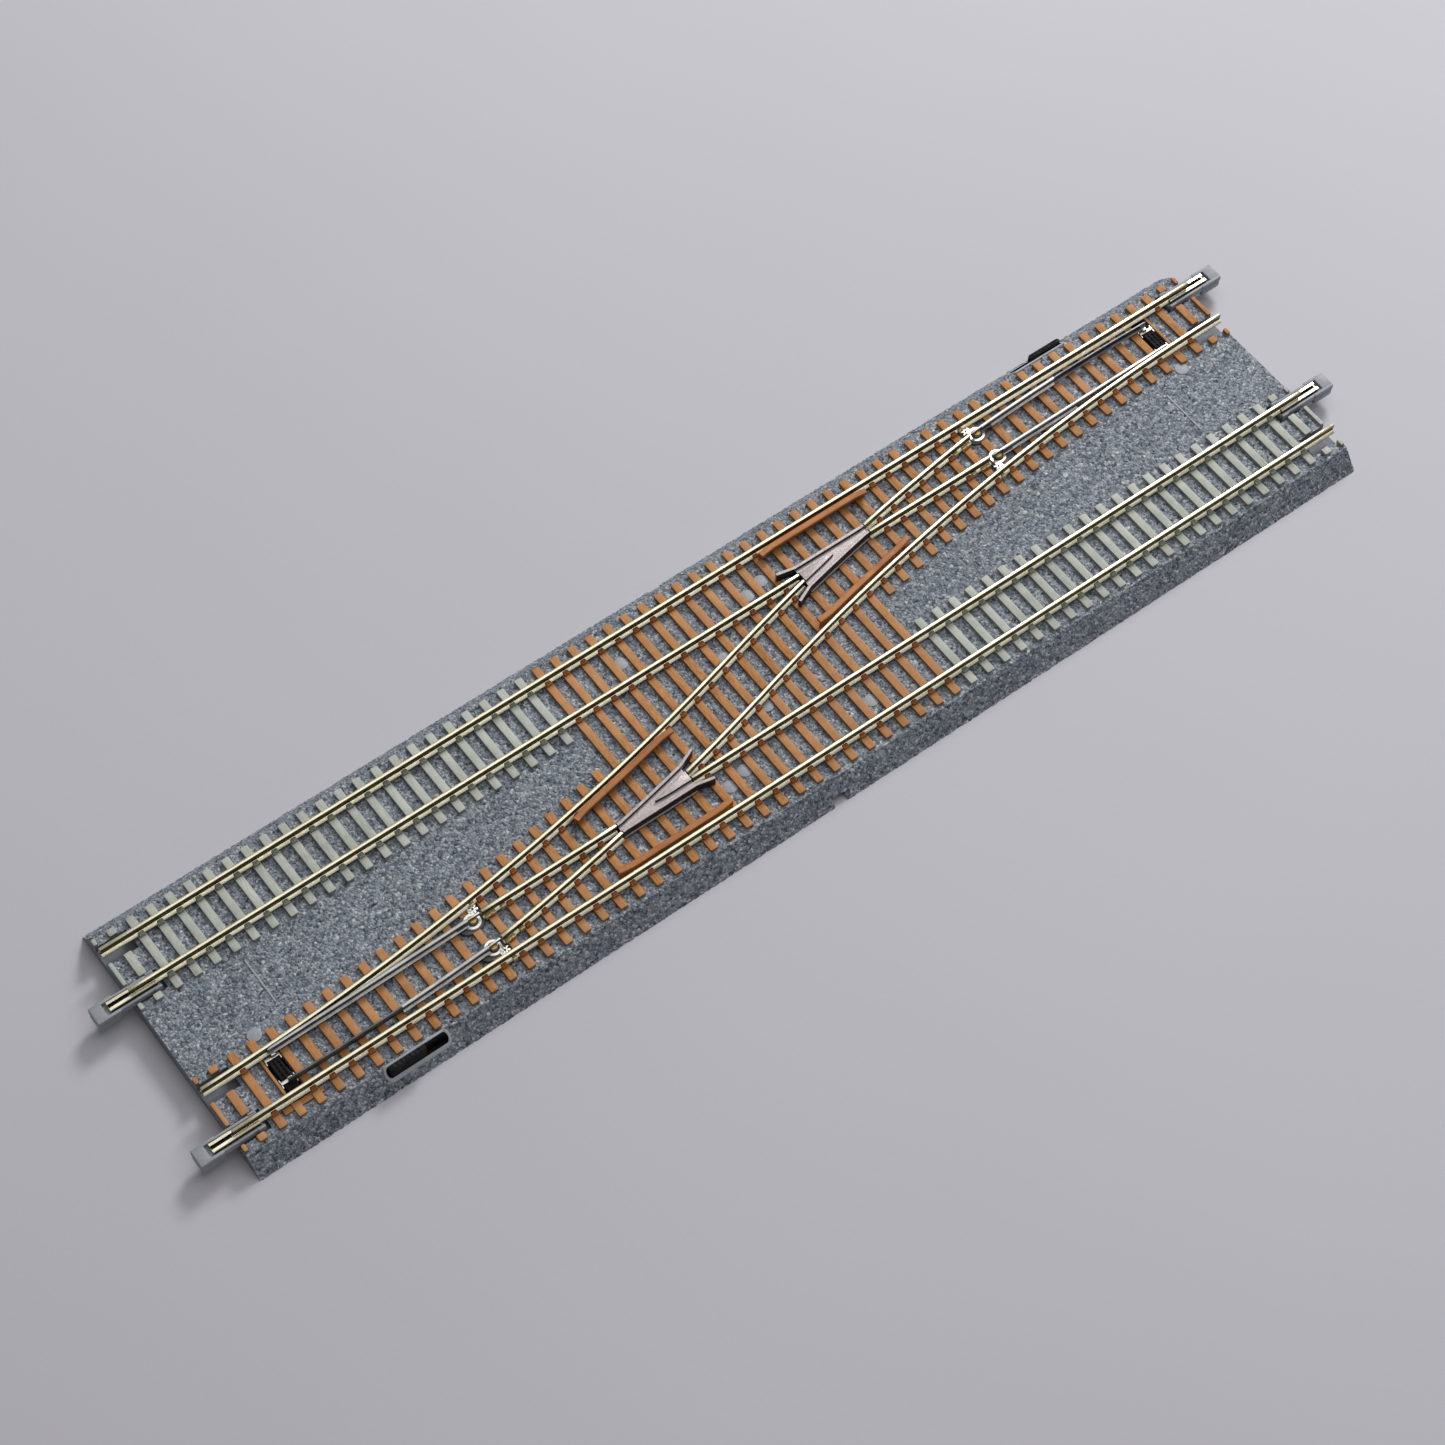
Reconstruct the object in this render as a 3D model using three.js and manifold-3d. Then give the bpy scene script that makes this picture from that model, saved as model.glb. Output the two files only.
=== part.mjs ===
// Double-track crossover for an N gauge railway: two turnouts laid back to back in one ballasted roadbed.
//
// Frame: millimetres, +Z up, +X along the tracks, origin on the table under the middle of the roadbed.
// The object looks the same after half a turn about Z. Everything that belongs to one end is therefore
// made once, in "end" coordinates: x runs from that end towards the middle, y = 0 is the centre line of
// the track whose turnout starts at that end, and y = SPACING is the centre line of the other track.
import * as THREE from "three";
import { mergeVertices } from "three/addons/utils/BufferGeometryUtils.js";
import Module from "manifold-3d";

const wasm = await Module();
wasm.setup();

// ---- Driving dimensions, in mm ----

// Track plan
const LENGTH = 248; // roadbed and rails, end to end
const SPACING = 33; // between the two track centre lines
const GAUGE = 9; // between the inner faces of a pair of rails

// Rail section
const HEAD_WIDTH = 0.65;
const HEAD_DEPTH = 0.6;
const WEB_WIDTH = 0.4;
const FOOT_WIDTH = 1.7;
const FOOT_DEPTH = 0.35;
const RAIL_HEIGHT = 2.05;

// Roadbed
const ROADBED_HEIGHT = 4.3; // table to ballast surface
const TOP_MARGIN = 9.2; // outer track centre line to the edge of the flat top
const BASE_MARGIN = 12.5; // outer track centre line to the foot of the shoulder
const SKIN = 1.2; // thickness under the ballast surface
const SIDE_WALL = 1.6; // thickness of the shoulders, measured along Y
const COVER_DEPTH = 0.9;

// Sleepers
const SLEEPER_SPACING = 3.94; // wanted distance between sleepers
const SLEEPER_WIDTH = 1.6;
const SLEEPER_LENGTH = 16.9;
const SLEEPER_RISE = 0.6; // above the ballast
const LONG_SLEEPERS = 16; // in the middle, under both tracks
const SLEEPER_OVERHANG = 3.6; // beyond the diverging rail
const WEB_BAR = 1; // width of the bars that hold the sleepers together
const WEB_RISE = 0.3; // height of those bars above the ballast

// Blades and their drive
const BLADE_TIP = 13; // from the end of the track
const HEEL_SPREAD = 3.23; // between the stock rail and the blade at its pivot
const BLADE_TIP_WIDTH = 0.44;
const BLADE_TAPER = 14; // length over which a blade reaches the width of a rail head
const BLADE_DROP = 0.05; // blade top below rail top
const THROW = 1.9; // stroke of the throw bar
const BAR_CENTRE = 13.2;
const BAR_WIDTH = 2.2;
const BAR_DEPTH = 1.25;
const BAR_OVERHANG = 0.9; // beyond the blades' legs
const PIN_RADIUS = 0.5;
const DRIVE_DEPTH = 0.8;
const SLOT_CENTRE = 33.8; // manual lever slot, from the end of the track
const SLOT_LENGTH = 12.5;
const SLOT_WIDTH = 1.4;
const LEVER_LENGTH = 7.6;
const LEVER_RISE = 0.6; // above the ballast
const COIL_START = 50;
const COIL_LENGTH = 14;
const COIL_WIDTH = 8;
const PLUNGER_WIDTH = 2.4;
const PLUNGER_DEPTH = 0.7;

// Heel contacts
const RING_RADIUS = 1.7;
const RING_DEPTH = 0.4;
const BOSS_RADIUS = 1.3;
const BOSS_DEPTH = 0.35;
const HEEL_GAP = 2; // pivot to closure rail

// Frog and guard rails
const FLANGEWAY = 1;
const FROG_LEAD = 0.47; // from the end of the closure rails to the bend of the wing rails
const FROG_SPREAD = 1.52; // between the two rails that leave the frog, at its heel
const FROG_WING = 3.6; // wing rails beyond the heel
const WING_FLARE = 0.8;
const FLANGEWAY_DEPTH = 0.7; // of the frog, below rail top
const GUARD_BEFORE = 14.4; // guard rail ahead of the frog's theoretical point
const GUARD_AFTER = 10.5; // and behind it
const GUARD_GAP = 0.6; // between the stock rail's head and the guard rail
const GUARD_WIDTH = 1.2;
const GUARD_DEPTH = 0.6; // of the guard's flat top
const GUARD_WEB = 0.4; // width of the wall under it
const GUARD_DROP = 0.05; // guard top below rail top
const RAIL_JOINT = 0.25; // gap between the ends of two rails

// Joiners
const HOLDER_OUT = 7.4; // beyond the end of the roadbed
const HOLDER_IN = 5.5;
const HOLDER_WIDTH = 3.8;
const HOLDER_DROP = 1.8; // holder bottom below the ballast
const JOINER_OUT = 4.3;
const JOINER_IN = 5;
const SHEET = 0.2;
const POCKET_LENGTH = 6.3;

// Cover screws
const SCREW_INSET = 28; // from the end of the roadbed
const SCREW_Y = 6;
const SCREW_RADIUS = 0.75;
const SCREW_HEAD_RADIUS = 1.6;
const SCREW_HEAD_DEPTH = 0.4;
const BOSS_WALL = 1.4;

// Cable inlet and circuit board
const INLET_WIDTH = 2.8;
const INLET_HEIGHT = 1.5;
const BOARD_LENGTH = 34;
const BOARD_WIDTH = 16;
const BOARD_DEPTH = 0.7;

// Clearances
const FIT = 0.05; // between flat pieces that lie on each other
const RUNNING = 0.15; // around a pin that slides
const LOOSE = 0.3; // around pieces that drop into a pocket
const BLADE_CLEARANCE = 0.08; // closed blade to stock rail
const END_GAP = 0.45; // lever to the end of its slot
const BRACKET_GAP = 0.2; // blade's bracket to the side of the throw bar

// ---- Derived sizes ----

const RAIL_Y = (GAUGE + HEAD_WIDTH) / 2; // centre of a rail from its track's centre line
const SLEEPER_TOP = ROADBED_HEIGHT + SLEEPER_RISE;
const SLEEPER_BASE = ROADBED_HEIGHT + FIT;
const WEB_TOP = ROADBED_HEIGHT + WEB_RISE;
const RAIL_BASE = SLEEPER_TOP + FIT;
const FOOT_TOP = RAIL_BASE + FOOT_DEPTH;
const RAIL_TOP = RAIL_BASE + RAIL_HEIGHT;
const CEILING = ROADBED_HEIGHT - SKIN;

// The crossing track is two equal arcs that meet half way between the tracks.
const TURN = 2 * Math.atan(SPACING / LENGTH);
const RADIUS = LENGTH / 2 / Math.sin(TURN);

// Where the crossing rail has come a distance past the straight rail that it cuts, from the end of the track.
function spreadX(spread) {
  return Math.sqrt((2 * RADIUS - spread) * (2 * RAIL_Y + spread));
}

const WING_OFFSET = FLANGEWAY + HEAD_WIDTH;
const HEEL_PIVOT = Math.sqrt((2 * RADIUS + 2 * RAIL_Y - HEEL_SPREAD) * HEEL_SPREAD);
const KNUCKLE = spreadX(-WING_OFFSET);
const FROG_POINT = spreadX(0);
const FROG_TOE_X = KNUCKLE - FROG_LEAD;
const FROG_HEEL_X = spreadX(FROG_SPREAD);

const SLEEPER_COUNT = Math.round(LENGTH / SLEEPER_SPACING);
const PITCH = LENGTH / SLEEPER_COUNT;
const FIRST_LONG = Math.floor((SLEEPER_COUNT + 1 - LONG_SLEEPERS) / 2);
const LAST_LONG = SLEEPER_COUNT - FIRST_LONG;

const BLADE_LENGTH = HEEL_PIVOT - BLADE_TIP;
const LEG_X = BAR_CENTRE + 0.4;
const OPEN_ANGLE = Math.asin(THROW / (HEEL_PIVOT - LEG_X));
const BLADE_BASE = FOOT_TOP + 2 * FIT;
const BAR_TOP = ROADBED_HEIGHT + WEB_RISE;
const BAR_BASE = BAR_TOP - BAR_DEPTH;
const TRAVEL = SLOT_LENGTH - LEVER_LENGTH - 2 * END_GAP;
const DRIVE_BASE = COVER_DEPTH + 4 * FIT;
const DRIVE_TOP = DRIVE_BASE + DRIVE_DEPTH;
const LEVER_X = SLOT_CENTRE - SLOT_LENGTH / 2 + END_GAP + LEVER_LENGTH / 2;
const SLOT_Y = -(TOP_MARGIN + SLOT_WIDTH / 2 + LOOSE / 2);
const LEVER_WIDTH = SLOT_WIDTH - 2 * LOOSE + FIT;
const HOLLOW_START = POCKET_LENGTH + 1;
const HOLDER_BASE = ROADBED_HEIGHT - HOLDER_DROP;
const JOINER_LIP = FOOT_TOP + FIT;
const JOINER_FLOOR = RAIL_BASE - 2 * FIT;

// ---- Making and joining solids ----

// A block between two corners.
function box(x0, x1, y0, y1, z0, z1) {
  const geometry = new THREE.BoxGeometry(x1 - x0, y1 - y0, z1 - z0);
  return geometry.translate((x0 + x1) / 2, (y0 + y1) / 2, (z0 + z1) / 2);
}

// An upright round post.
function post(x, y, radius, z0, z1, sides = 12) {
  const geometry = new THREE.CylinderGeometry(radius, radius, z1 - z0, sides);
  return geometry.rotateX(Math.PI / 2).translate(x, y, (z0 + z1) / 2);
}

// A plan outline raised between two heights.
function plate(points, z0, z1) {
  const shape = new THREE.Shape(points.map(([x, y]) => new THREE.Vector2(x, y)));
  const geometry = new THREE.ExtrudeGeometry(shape, { depth: z1 - z0, bevelEnabled: false });
  return geometry.translate(0, 0, z0);
}

// A (y, z) section drawn out along X.
function prism(section, x0, x1) {
  const toX = new THREE.Matrix4().makeBasis(
    new THREE.Vector3(0, 1, 0),
    new THREE.Vector3(0, 0, 1),
    new THREE.Vector3(1, 0, 0),
  );
  return plate(section, x0, x1).applyMatrix4(toX);
}

// A strip that follows a path of points. The half width is one number, or one for each point.
function strip(path, half, z0, z1) {
  const left = [];
  const right = [];
  path.forEach(([x, y], i) => {
    const [ax, ay] = path[Math.max(i - 1, 0)];
    const [bx, by] = path[Math.min(i + 1, path.length - 1)];
    const run = Math.hypot(bx - ax, by - ay);
    const h = Array.isArray(half) ? half[i] : half;
    left.push([x - ((by - ay) / run) * h, y + ((bx - ax) / run) * h]);
    right.unshift([x + ((by - ay) / run) * h, y - ((bx - ax) / run) * h]);
  });
  return plate([...left, ...right], z0, z1);
}

// A slot outline with round ends, between two centres.
function slot(x0, y0, x1, y1, radius, z0, z1, sides = 4) {
  const heading = Math.atan2(y1 - y0, x1 - x0);
  const points = [];
  for (const [x, y, start] of [
    [x1, y1, heading - Math.PI / 2],
    [x0, y0, heading + Math.PI / 2],
  ]) {
    for (let i = 0; i <= sides; i++) {
      const angle = start + (Math.PI * i) / sides;
      points.push([x + radius * Math.cos(angle), y + radius * Math.sin(angle)]);
    }
  }
  return plate(points, z0, z1);
}

function toSolid(geometry) {
  const bare = geometry.clone();
  bare.deleteAttribute("normal");
  bare.deleteAttribute("uv");
  const merged = mergeVertices(bare, 1e-4);
  return new wasm.Manifold(
    new wasm.Mesh({
      numProp: 3,
      vertProperties: merged.attributes.position.array,
      triVerts: new Uint32Array(merged.index.array),
    }),
  );
}

function toGeometry(solid) {
  const { vertProperties, triVerts } = solid.getMesh();
  const geometry = new THREE.BufferGeometry();
  geometry.setAttribute("position", new THREE.BufferAttribute(vertProperties, 3));
  geometry.setIndex(new THREE.BufferAttribute(triVerts, 1));
  return geometry;
}

function fuse(pieces) {
  return toGeometry(pieces.map(toSolid).reduce((a, b) => a.add(b)));
}

function cut(piece, tools) {
  return toGeometry(tools.map(toSolid).reduce((a, b) => a.subtract(b), toSolid(piece)));
}

// ---- Ends ----

const ENDS = ["west", "east"];
const groups = {};
for (const end of ENDS) {
  groups[end] = new THREE.Group();
}
groups.west.position.set(-LENGTH / 2, -SPACING / 2, 0);
groups.east.position.set(LENGTH / 2, SPACING / 2, 0);
groups.east.rotation.z = Math.PI;

// Copies of an end's geometry at both ends, in the object's own frame.
function atBothEnds(geometries) {
  return ENDS.flatMap((end) => {
    groups[end].updateMatrix();
    return geometries.map((g) => g.clone().applyMatrix4(groups[end].matrix));
  });
}

// ---- Track plan, in end coordinates ----

// Height in Y of the crossing track, a distance to the left of its centre line, at x.
function crossingY(x, left) {
  const middle = LENGTH / 2 - left * Math.sin(TURN);
  if (x <= middle) {
    return RADIUS - Math.sqrt((RADIUS - left) ** 2 - x ** 2);
  }
  return SPACING - RADIUS + Math.sqrt((RADIUS + left) ** 2 - (LENGTH - x) ** 2);
}

// Points on that line between two values of x.
function crossingPath(x0, x1, left, steps) {
  return Array.from({ length: steps + 1 }, (_, i) => {
    const x = x0 + ((x1 - x0) * i) / steps;
    return [x, crossingY(x, left)];
  });
}

// ---- Rails ----

// Foot, web and head of a rail along a path.
function rail(path) {
  return fuse([
    strip(path, WEB_WIDTH / 2, RAIL_BASE, RAIL_TOP),
    strip(path, FOOT_WIDTH / 2, RAIL_BASE, FOOT_TOP),
    strip(path, HEAD_WIDTH / 2, RAIL_TOP - HEAD_DEPTH, RAIL_TOP),
  ]);
}

function straightPath(x0, x1, y) {
  return [
    [x0, y],
    [x1, y],
  ];
}

const CLOSURE_START = HEEL_PIVOT + HEEL_GAP;
const CLOSURE_END = FROG_TOE_X - RAIL_JOINT;

// The curved rail between the heel and the frog. Its foot is cut back where it nears the straight one.
function curvedClosureRail() {
  const near = spreadX(-(FOOT_WIDTH + 4 * FIT));
  const edge = RAIL_Y - FOOT_WIDTH / 2 - FIT;
  return cut(rail(crossingPath(CLOSURE_START, CLOSURE_END, -RAIL_Y, 4)), [
    box(near, CLOSURE_END + 1, edge, edge + 2, RAIL_BASE - 1, FOOT_TOP + FIT),
  ]);
}

// The rail that crosses to the other track. Its foot is cut back where it meets the straight rail
// beside the other turnout's frog.
function curvedStockRail() {
  const end = LENGTH - FROG_HEEL_X - RAIL_JOINT;
  const clear = LENGTH - spreadX(FOOT_WIDTH + 4 * FIT);
  const meets = SPACING - RAIL_Y - FOOT_WIDTH / 2;
  return cut(rail(crossingPath(0, end, RAIL_Y, 16)), [
    box(clear, end + 1, meets - FIT, meets + 2, RAIL_BASE - 1, FOOT_TOP + FIT),
  ]);
}

// ---- Frog ----

// Wing rails and point of the frog on one base. The wings bend away from their own rail and run beside
// the point with a flangeway between.
function frog() {
  const tip = FROG_HEEL_X + FROG_WING;
  const upper = [
    [FROG_TOE_X, RAIL_Y],
    [KNUCKLE - 0.3, RAIL_Y],
    ...crossingPath(KNUCKLE + 0.6, FROG_HEEL_X, -RAIL_Y, 6).map(([x, y]) => [x, y + WING_OFFSET]),
    [tip, crossingY(tip, -RAIL_Y) + WING_OFFSET + WING_FLARE],
  ];
  const lower = [
    [FROG_TOE_X, crossingY(FROG_TOE_X, -RAIL_Y)],
    [KNUCKLE + 0.3, RAIL_Y - WING_OFFSET],
    [FROG_HEEL_X, RAIL_Y - WING_OFFSET],
    [tip, RAIL_Y - WING_OFFSET - WING_FLARE],
  ];
  const nose = FROG_POINT - 0.6;
  const shoulder = spreadX(0.4);
  const half = HEAD_WIDTH / 2;
  const wingFoot = WING_OFFSET - FOOT_WIDTH / 2 - RUNNING;
  const point = [
    [nose, RAIL_Y],
    ...crossingPath(shoulder, FROG_HEEL_X, -RAIL_Y, 4).map(([x, y]) => [x, y + half]),
    [FROG_HEEL_X, RAIL_Y - half],
    [shoulder, RAIL_Y - half],
  ];
  point.reverse();
  const floor = RAIL_TOP - FLANGEWAY_DEPTH;
  const inside = (path) => path.slice(0, -1);
  const base = [...inside(lower), ...inside(upper).reverse()];
  return fuse([
    plate(base, RAIL_BASE, floor),
    strip(upper, wingFoot, RAIL_BASE, FOOT_TOP),
    strip(lower, wingFoot, RAIL_BASE, FOOT_TOP),
    strip(upper, half, RAIL_BASE, RAIL_TOP),
    strip(lower, half, RAIL_BASE, RAIL_TOP),
    plate(point, RAIL_BASE, RAIL_TOP),
  ]);
}

// ---- Blades, heels and throw bar ----

// How far each closed blade stands off the line of its rail at the tip, so that it clears the stock rail.
const STAND_OFF = HEAD_WIDTH / 2 + BLADE_CLEARANCE + BLADE_TIP_WIDTH / 2;

// The two blades of a turnout. "inward" points from the stock rail to the middle of the track.
const BLADES = {
  straight: {
    inward: -1,
    line: () => RAIL_Y,
    lift: RAIL_Y - (crossingY(BLADE_TIP, RAIL_Y) - STAND_OFF),
    rest: 0,
  },
  curved: {
    inward: 1,
    line: (x) => crossingY(x, -RAIL_Y),
    lift: STAND_OFF - RAIL_Y - crossingY(BLADE_TIP, -RAIL_Y),
    rest: -OPEN_ANGLE,
  },
};

// Centre of a closed blade at x.
function bladeY(blade, x) {
  return blade.line(x) + blade.inward * blade.lift * ((HEEL_PIVOT - x) / BLADE_LENGTH);
}

function pivotOf(blade) {
  return [HEEL_PIVOT, blade.line(HEEL_PIVOT)];
}

// Where the blade's leg enters the throw bar, at rest.
function legOf(blade) {
  const [px, py] = pivotOf(blade);
  const dx = LEG_X - px;
  const dy = bladeY(blade, LEG_X) + blade.inward * (FOOT_WIDTH / 2 - HEAD_WIDTH / 4) - py;
  const c = Math.cos(blade.rest);
  const s = Math.sin(blade.rest);
  return [px + c * dx - s * dy, py + s * dx + c * dy];
}

const LEG_LENGTH = 0.8;
const LEG_WIDTH = 0.4;

// A closed blade with its heel boss, and at the tip a tongue, a leg and a bracket around the throw bar.
// It is made about its pivot.
function bladeGeometry(blade) {
  const [px, py] = pivotOf(blade);
  const heel = HEEL_PIVOT - BOSS_RADIUS + 0.3;
  const steps = 5;
  const path = Array.from({ length: steps + 1 }, (_, i) => {
    const x = BLADE_TIP + ((heel - BLADE_TIP) * i) / steps;
    return [x, bladeY(blade, x)];
  });
  const halves = path.map(([x]) => {
    const t = Math.min((x - BLADE_TIP) / BLADE_TAPER, 1);
    return (BLADE_TIP_WIDTH + (HEAD_WIDTH - BLADE_TIP_WIDTH) * t) / 2;
  });
  const centre = bladeY(blade, LEG_X);
  const legY = centre + blade.inward * (FOOT_WIDTH / 2 - HEAD_WIDTH / 4);
  const tongueTop = BLADE_BASE + 0.3;
  const tongueEnd = legY + (blade.inward * LEG_WIDTH) / 2;
  const tongue = [centre, tongueEnd].sort((a, b) => a - b);
  const leg = [LEG_X - LEG_LENGTH / 2, LEG_X + LEG_LENGTH / 2];
  const bracket = [BAR_TOP + FIT, RAIL_BASE - FIT];
  const outer = BAR_WIDTH / 2 + BRACKET_GAP + SHEET;
  const cheek = (side) => {
    const x = [BAR_CENTRE + side * outer, BAR_CENTRE + side * (outer - SHEET)].sort((a, b) => a - b);
    return box(...x, legY - 0.9, legY + 0.9, BAR_BASE + 0.5, bracket[1]);
  };
  const whole = fuse([
    strip(path, halves, BLADE_BASE, RAIL_TOP - BLADE_DROP),
    post(px, py, BOSS_RADIUS, BLADE_BASE, BLADE_BASE + BOSS_DEPTH),
    box(...leg, ...tongue, BLADE_BASE, tongueTop),
    box(...leg, legY - LEG_WIDTH / 2, legY + LEG_WIDTH / 2, BAR_BASE + FIT, tongueTop),
    box(BAR_CENTRE - outer, BAR_CENTRE + outer, legY - 0.9, legY + 0.9, ...bracket),
    cheek(-1),
    cheek(1),
  ]);
  const hole = post(px, py, PIN_RADIUS + FIT, BLADE_BASE - 1, BLADE_BASE + BOSS_DEPTH + 1, 8);
  return cut(whole, [hole]).translate(-px, -py, 0);
}

// Flat ring under the heel, with a strip that touches the stock rail beside it.
function heelContact(blade) {
  const [px, py] = pivotOf(blade);
  const stock = blade.inward < 0 ? crossingY(px + 1, RAIL_Y) : -RAIL_Y;
  const y = [py - blade.inward * BOSS_RADIUS, stock + blade.inward * (FOOT_WIDTH / 2 + 2 * FIT)];
  y.sort((a, b) => a - b);
  return cut(
    fuse([
      post(px, py, RING_RADIUS, RAIL_BASE, RAIL_BASE + RING_DEPTH, 16),
      box(px + 0.3, px + 1.5, ...y, RAIL_BASE, RAIL_BASE + RING_DEPTH),
    ]),
    [post(px, py, PIN_RADIUS + FIT, RAIL_BASE - 1, RAIL_BASE + 2, 8)],
  );
}

// Pivot pin through the roadbed, a sleeper, the ring and the blade's boss.
function heelPin(blade) {
  const [px, py] = pivotOf(blade);
  const headBase = BLADE_BASE + BOSS_DEPTH + FIT;
  return fuse([
    post(px, py, PIN_RADIUS, CEILING + FIT, headBase + 0.3, 8),
    post(px, py, PIN_RADIUS + 0.3, headBase, headBase + 0.3, 8),
  ]);
}

const PIN_Y = THROW / 4; // throw bar's drive pin at rest
const BAR_Y0 = legOf(BLADES.curved)[1] - BAR_OVERHANG - 1;
const BAR_Y1 = legOf(BLADES.straight)[1] + BAR_OVERHANG;

// Bar under the rails that takes a leg of each blade, with a pin down into the drive slide.
function throwBar() {
  const x0 = BAR_CENTRE - BAR_WIDTH / 2;
  const x1 = BAR_CENTRE + BAR_WIDTH / 2;
  const holes = Object.values(BLADES).map((blade) => {
    const [x, y] = legOf(blade);
    const hx = LEG_LENGTH / 2 + RUNNING;
    const hy = LEG_WIDTH / 2 + RUNNING;
    return box(x - hx, x + hx, y - hy, y + hy, BAR_BASE - 1, BAR_TOP + 1);
  });
  return fuse([
    cut(box(x0, x1, BAR_Y0, BAR_Y1, BAR_BASE, BAR_TOP), holes),
    post(BAR_CENTRE, PIN_Y, PIN_RADIUS, DRIVE_BASE + FIT, BAR_BASE + 0.2, 8),
  ]);
}

// ---- Drive under the roadbed ----

const HEAD_Y0 = PIN_Y - THROW - PIN_RADIUS - RUNNING - 0.9;
const HEAD_Y1 = PIN_Y + PIN_RADIUS + RUNNING + 0.9;
const SLIDE_HALF = 1.5;
const SLIDE_END = COIL_START - TRAVEL - 3;
const HOOK = 1; // length and half width of the hook that ties the plunger to the slide
const ARM_START = LEVER_X - LEVER_LENGTH / 2 + 0.5;
const ARM_END = LEVER_X + LEVER_LENGTH / 2 - 0.5;

// Flat slide along the track. Its slanted slot turns the slide's travel into the throw bar's stroke.
function driveSlide() {
  const slotRadius = PIN_RADIUS + RUNNING;
  const armY = SLOT_Y + LEVER_WIDTH / 2 + 2 * FIT;
  const left = BAR_CENTRE - TRAVEL - slotRadius - 0.6;
  const right = BAR_CENTRE + slotRadius + 1;
  const body = fuse([
    box(left, right, HEAD_Y0, HEAD_Y1, DRIVE_BASE, DRIVE_TOP),
    box(right - 1, SLIDE_END, -SLIDE_HALF, SLIDE_HALF, DRIVE_BASE, DRIVE_TOP),
    box(ARM_START, ARM_END, armY, 0, DRIVE_BASE, DRIVE_TOP),
  ]);
  const z0 = DRIVE_BASE - 1;
  const z1 = DRIVE_TOP + 1;
  const pinSlot = slot(BAR_CENTRE, PIN_Y, BAR_CENTRE - TRAVEL, PIN_Y - THROW, slotRadius, z0, z1);
  const hookEnd = SLIDE_END - HOOK - 0.7;
  const pocket = box(hookEnd - HOOK - 0.1, hookEnd + 0.1, -HOOK, HOOK, z0, z1);
  const neck = box(hookEnd, SLIDE_END + 1, -0.6, 0.6, z0, z1);
  return cut(body, [pinSlot, pocket, neck]);
}

// Finger lever that stands up through the slot in the shoulder.
function manualLever() {
  const half = LEVER_LENGTH / 2 - LEVER_WIDTH / 2;
  const top = ROADBED_HEIGHT + LEVER_RISE;
  return slot(LEVER_X - half, SLOT_Y, LEVER_X + half, SLOT_Y, LEVER_WIDTH / 2, DRIVE_BASE, top);
}

const PLUNGER_BASE = 1.55;
const PLUNGER_TOP = PLUNGER_BASE + PLUNGER_DEPTH;

// Flat iron core, hooked into the slide.
function plunger() {
  const hookEnd = SLIDE_END - HOOK - 0.7;
  const bodyStart = SLIDE_END + 0.1;
  const bodyEnd = COIL_START + COIL_LENGTH - TRAVEL + 0.5;
  return fuse([
    box(hookEnd - HOOK, hookEnd, -HOOK + 0.1, HOOK - 0.1, PLUNGER_BASE, PLUNGER_TOP),
    box(hookEnd - 0.2, bodyStart + 0.2, -0.5, 0.5, PLUNGER_BASE, PLUNGER_TOP),
    box(bodyStart, bodyEnd, -PLUNGER_WIDTH / 2, PLUNGER_WIDTH / 2, PLUNGER_BASE, PLUNGER_TOP),
  ]);
}

const COIL_END = COIL_START + COIL_LENGTH;
const COIL_BASE = COVER_DEPTH + FIT;
const COIL_TOP = CEILING - 2 * FIT;
const CORE_HALF = PLUNGER_WIDTH / 2 + RUNNING + SHEET;
const CORE_BASE = PLUNGER_BASE - 0.1 - SHEET;
const CORE_TOP = PLUNGER_TOP + 0.1 + SHEET;
const FLANGE = 0.6;

// Flat spool that the plunger slides in.
function coilBobbin() {
  const half = COIL_WIDTH / 2;
  return cut(
    fuse([
      box(COIL_START, COIL_END, -CORE_HALF, CORE_HALF, CORE_BASE, CORE_TOP),
      box(COIL_START, COIL_START + FLANGE, -half, half, COIL_BASE, COIL_TOP),
      box(COIL_END - FLANGE, COIL_END, -half, half, COIL_BASE, COIL_TOP),
    ]),
    [
      box(
        COIL_START - 1,
        COIL_END + 1,
        SHEET - CORE_HALF,
        CORE_HALF - SHEET,
        CORE_BASE + SHEET,
        CORE_TOP - SHEET,
      ),
    ],
  );
}

function coilWinding() {
  const x0 = COIL_START + FLANGE + FIT;
  const x1 = COIL_END - FLANGE - FIT;
  const half = COIL_WIDTH / 2 - 0.4;
  const core = CORE_HALF + FIT;
  return cut(box(x0, x1, -half, half, COIL_BASE + FIT, COIL_TOP - FIT), [
    box(x0 - 1, x1 + 1, -core, core, CORE_BASE - FIT, CORE_TOP + FIT),
  ]);
}

// Leaf spring beside the slide that holds it at either end of its travel.
function detentSpring() {
  const x0 = SLOT_CENTRE - SLOT_LENGTH / 2 - 10;
  const x1 = x0 + 16;
  const near = SLIDE_HALF + 0.1;
  const leaf = [
    [x0, near + 0.7],
    [x0 + 5, near + 0.7],
    [(x0 + x1) / 2, near + 0.15],
    [x1 - 5, near + 0.7],
    [x1, near + 0.7],
  ];
  return fuse([
    strip(leaf, 0.13, DRIVE_BASE, DRIVE_TOP),
    box(x0, x0 + 1, near + 0.6, near + 1.6, DRIVE_BASE, CEILING - FIT),
    box(x1 - 1, x1, near + 0.6, near + 1.6, DRIVE_BASE, CEILING - FIT),
  ]);
}

// ---- Joiners ----

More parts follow.
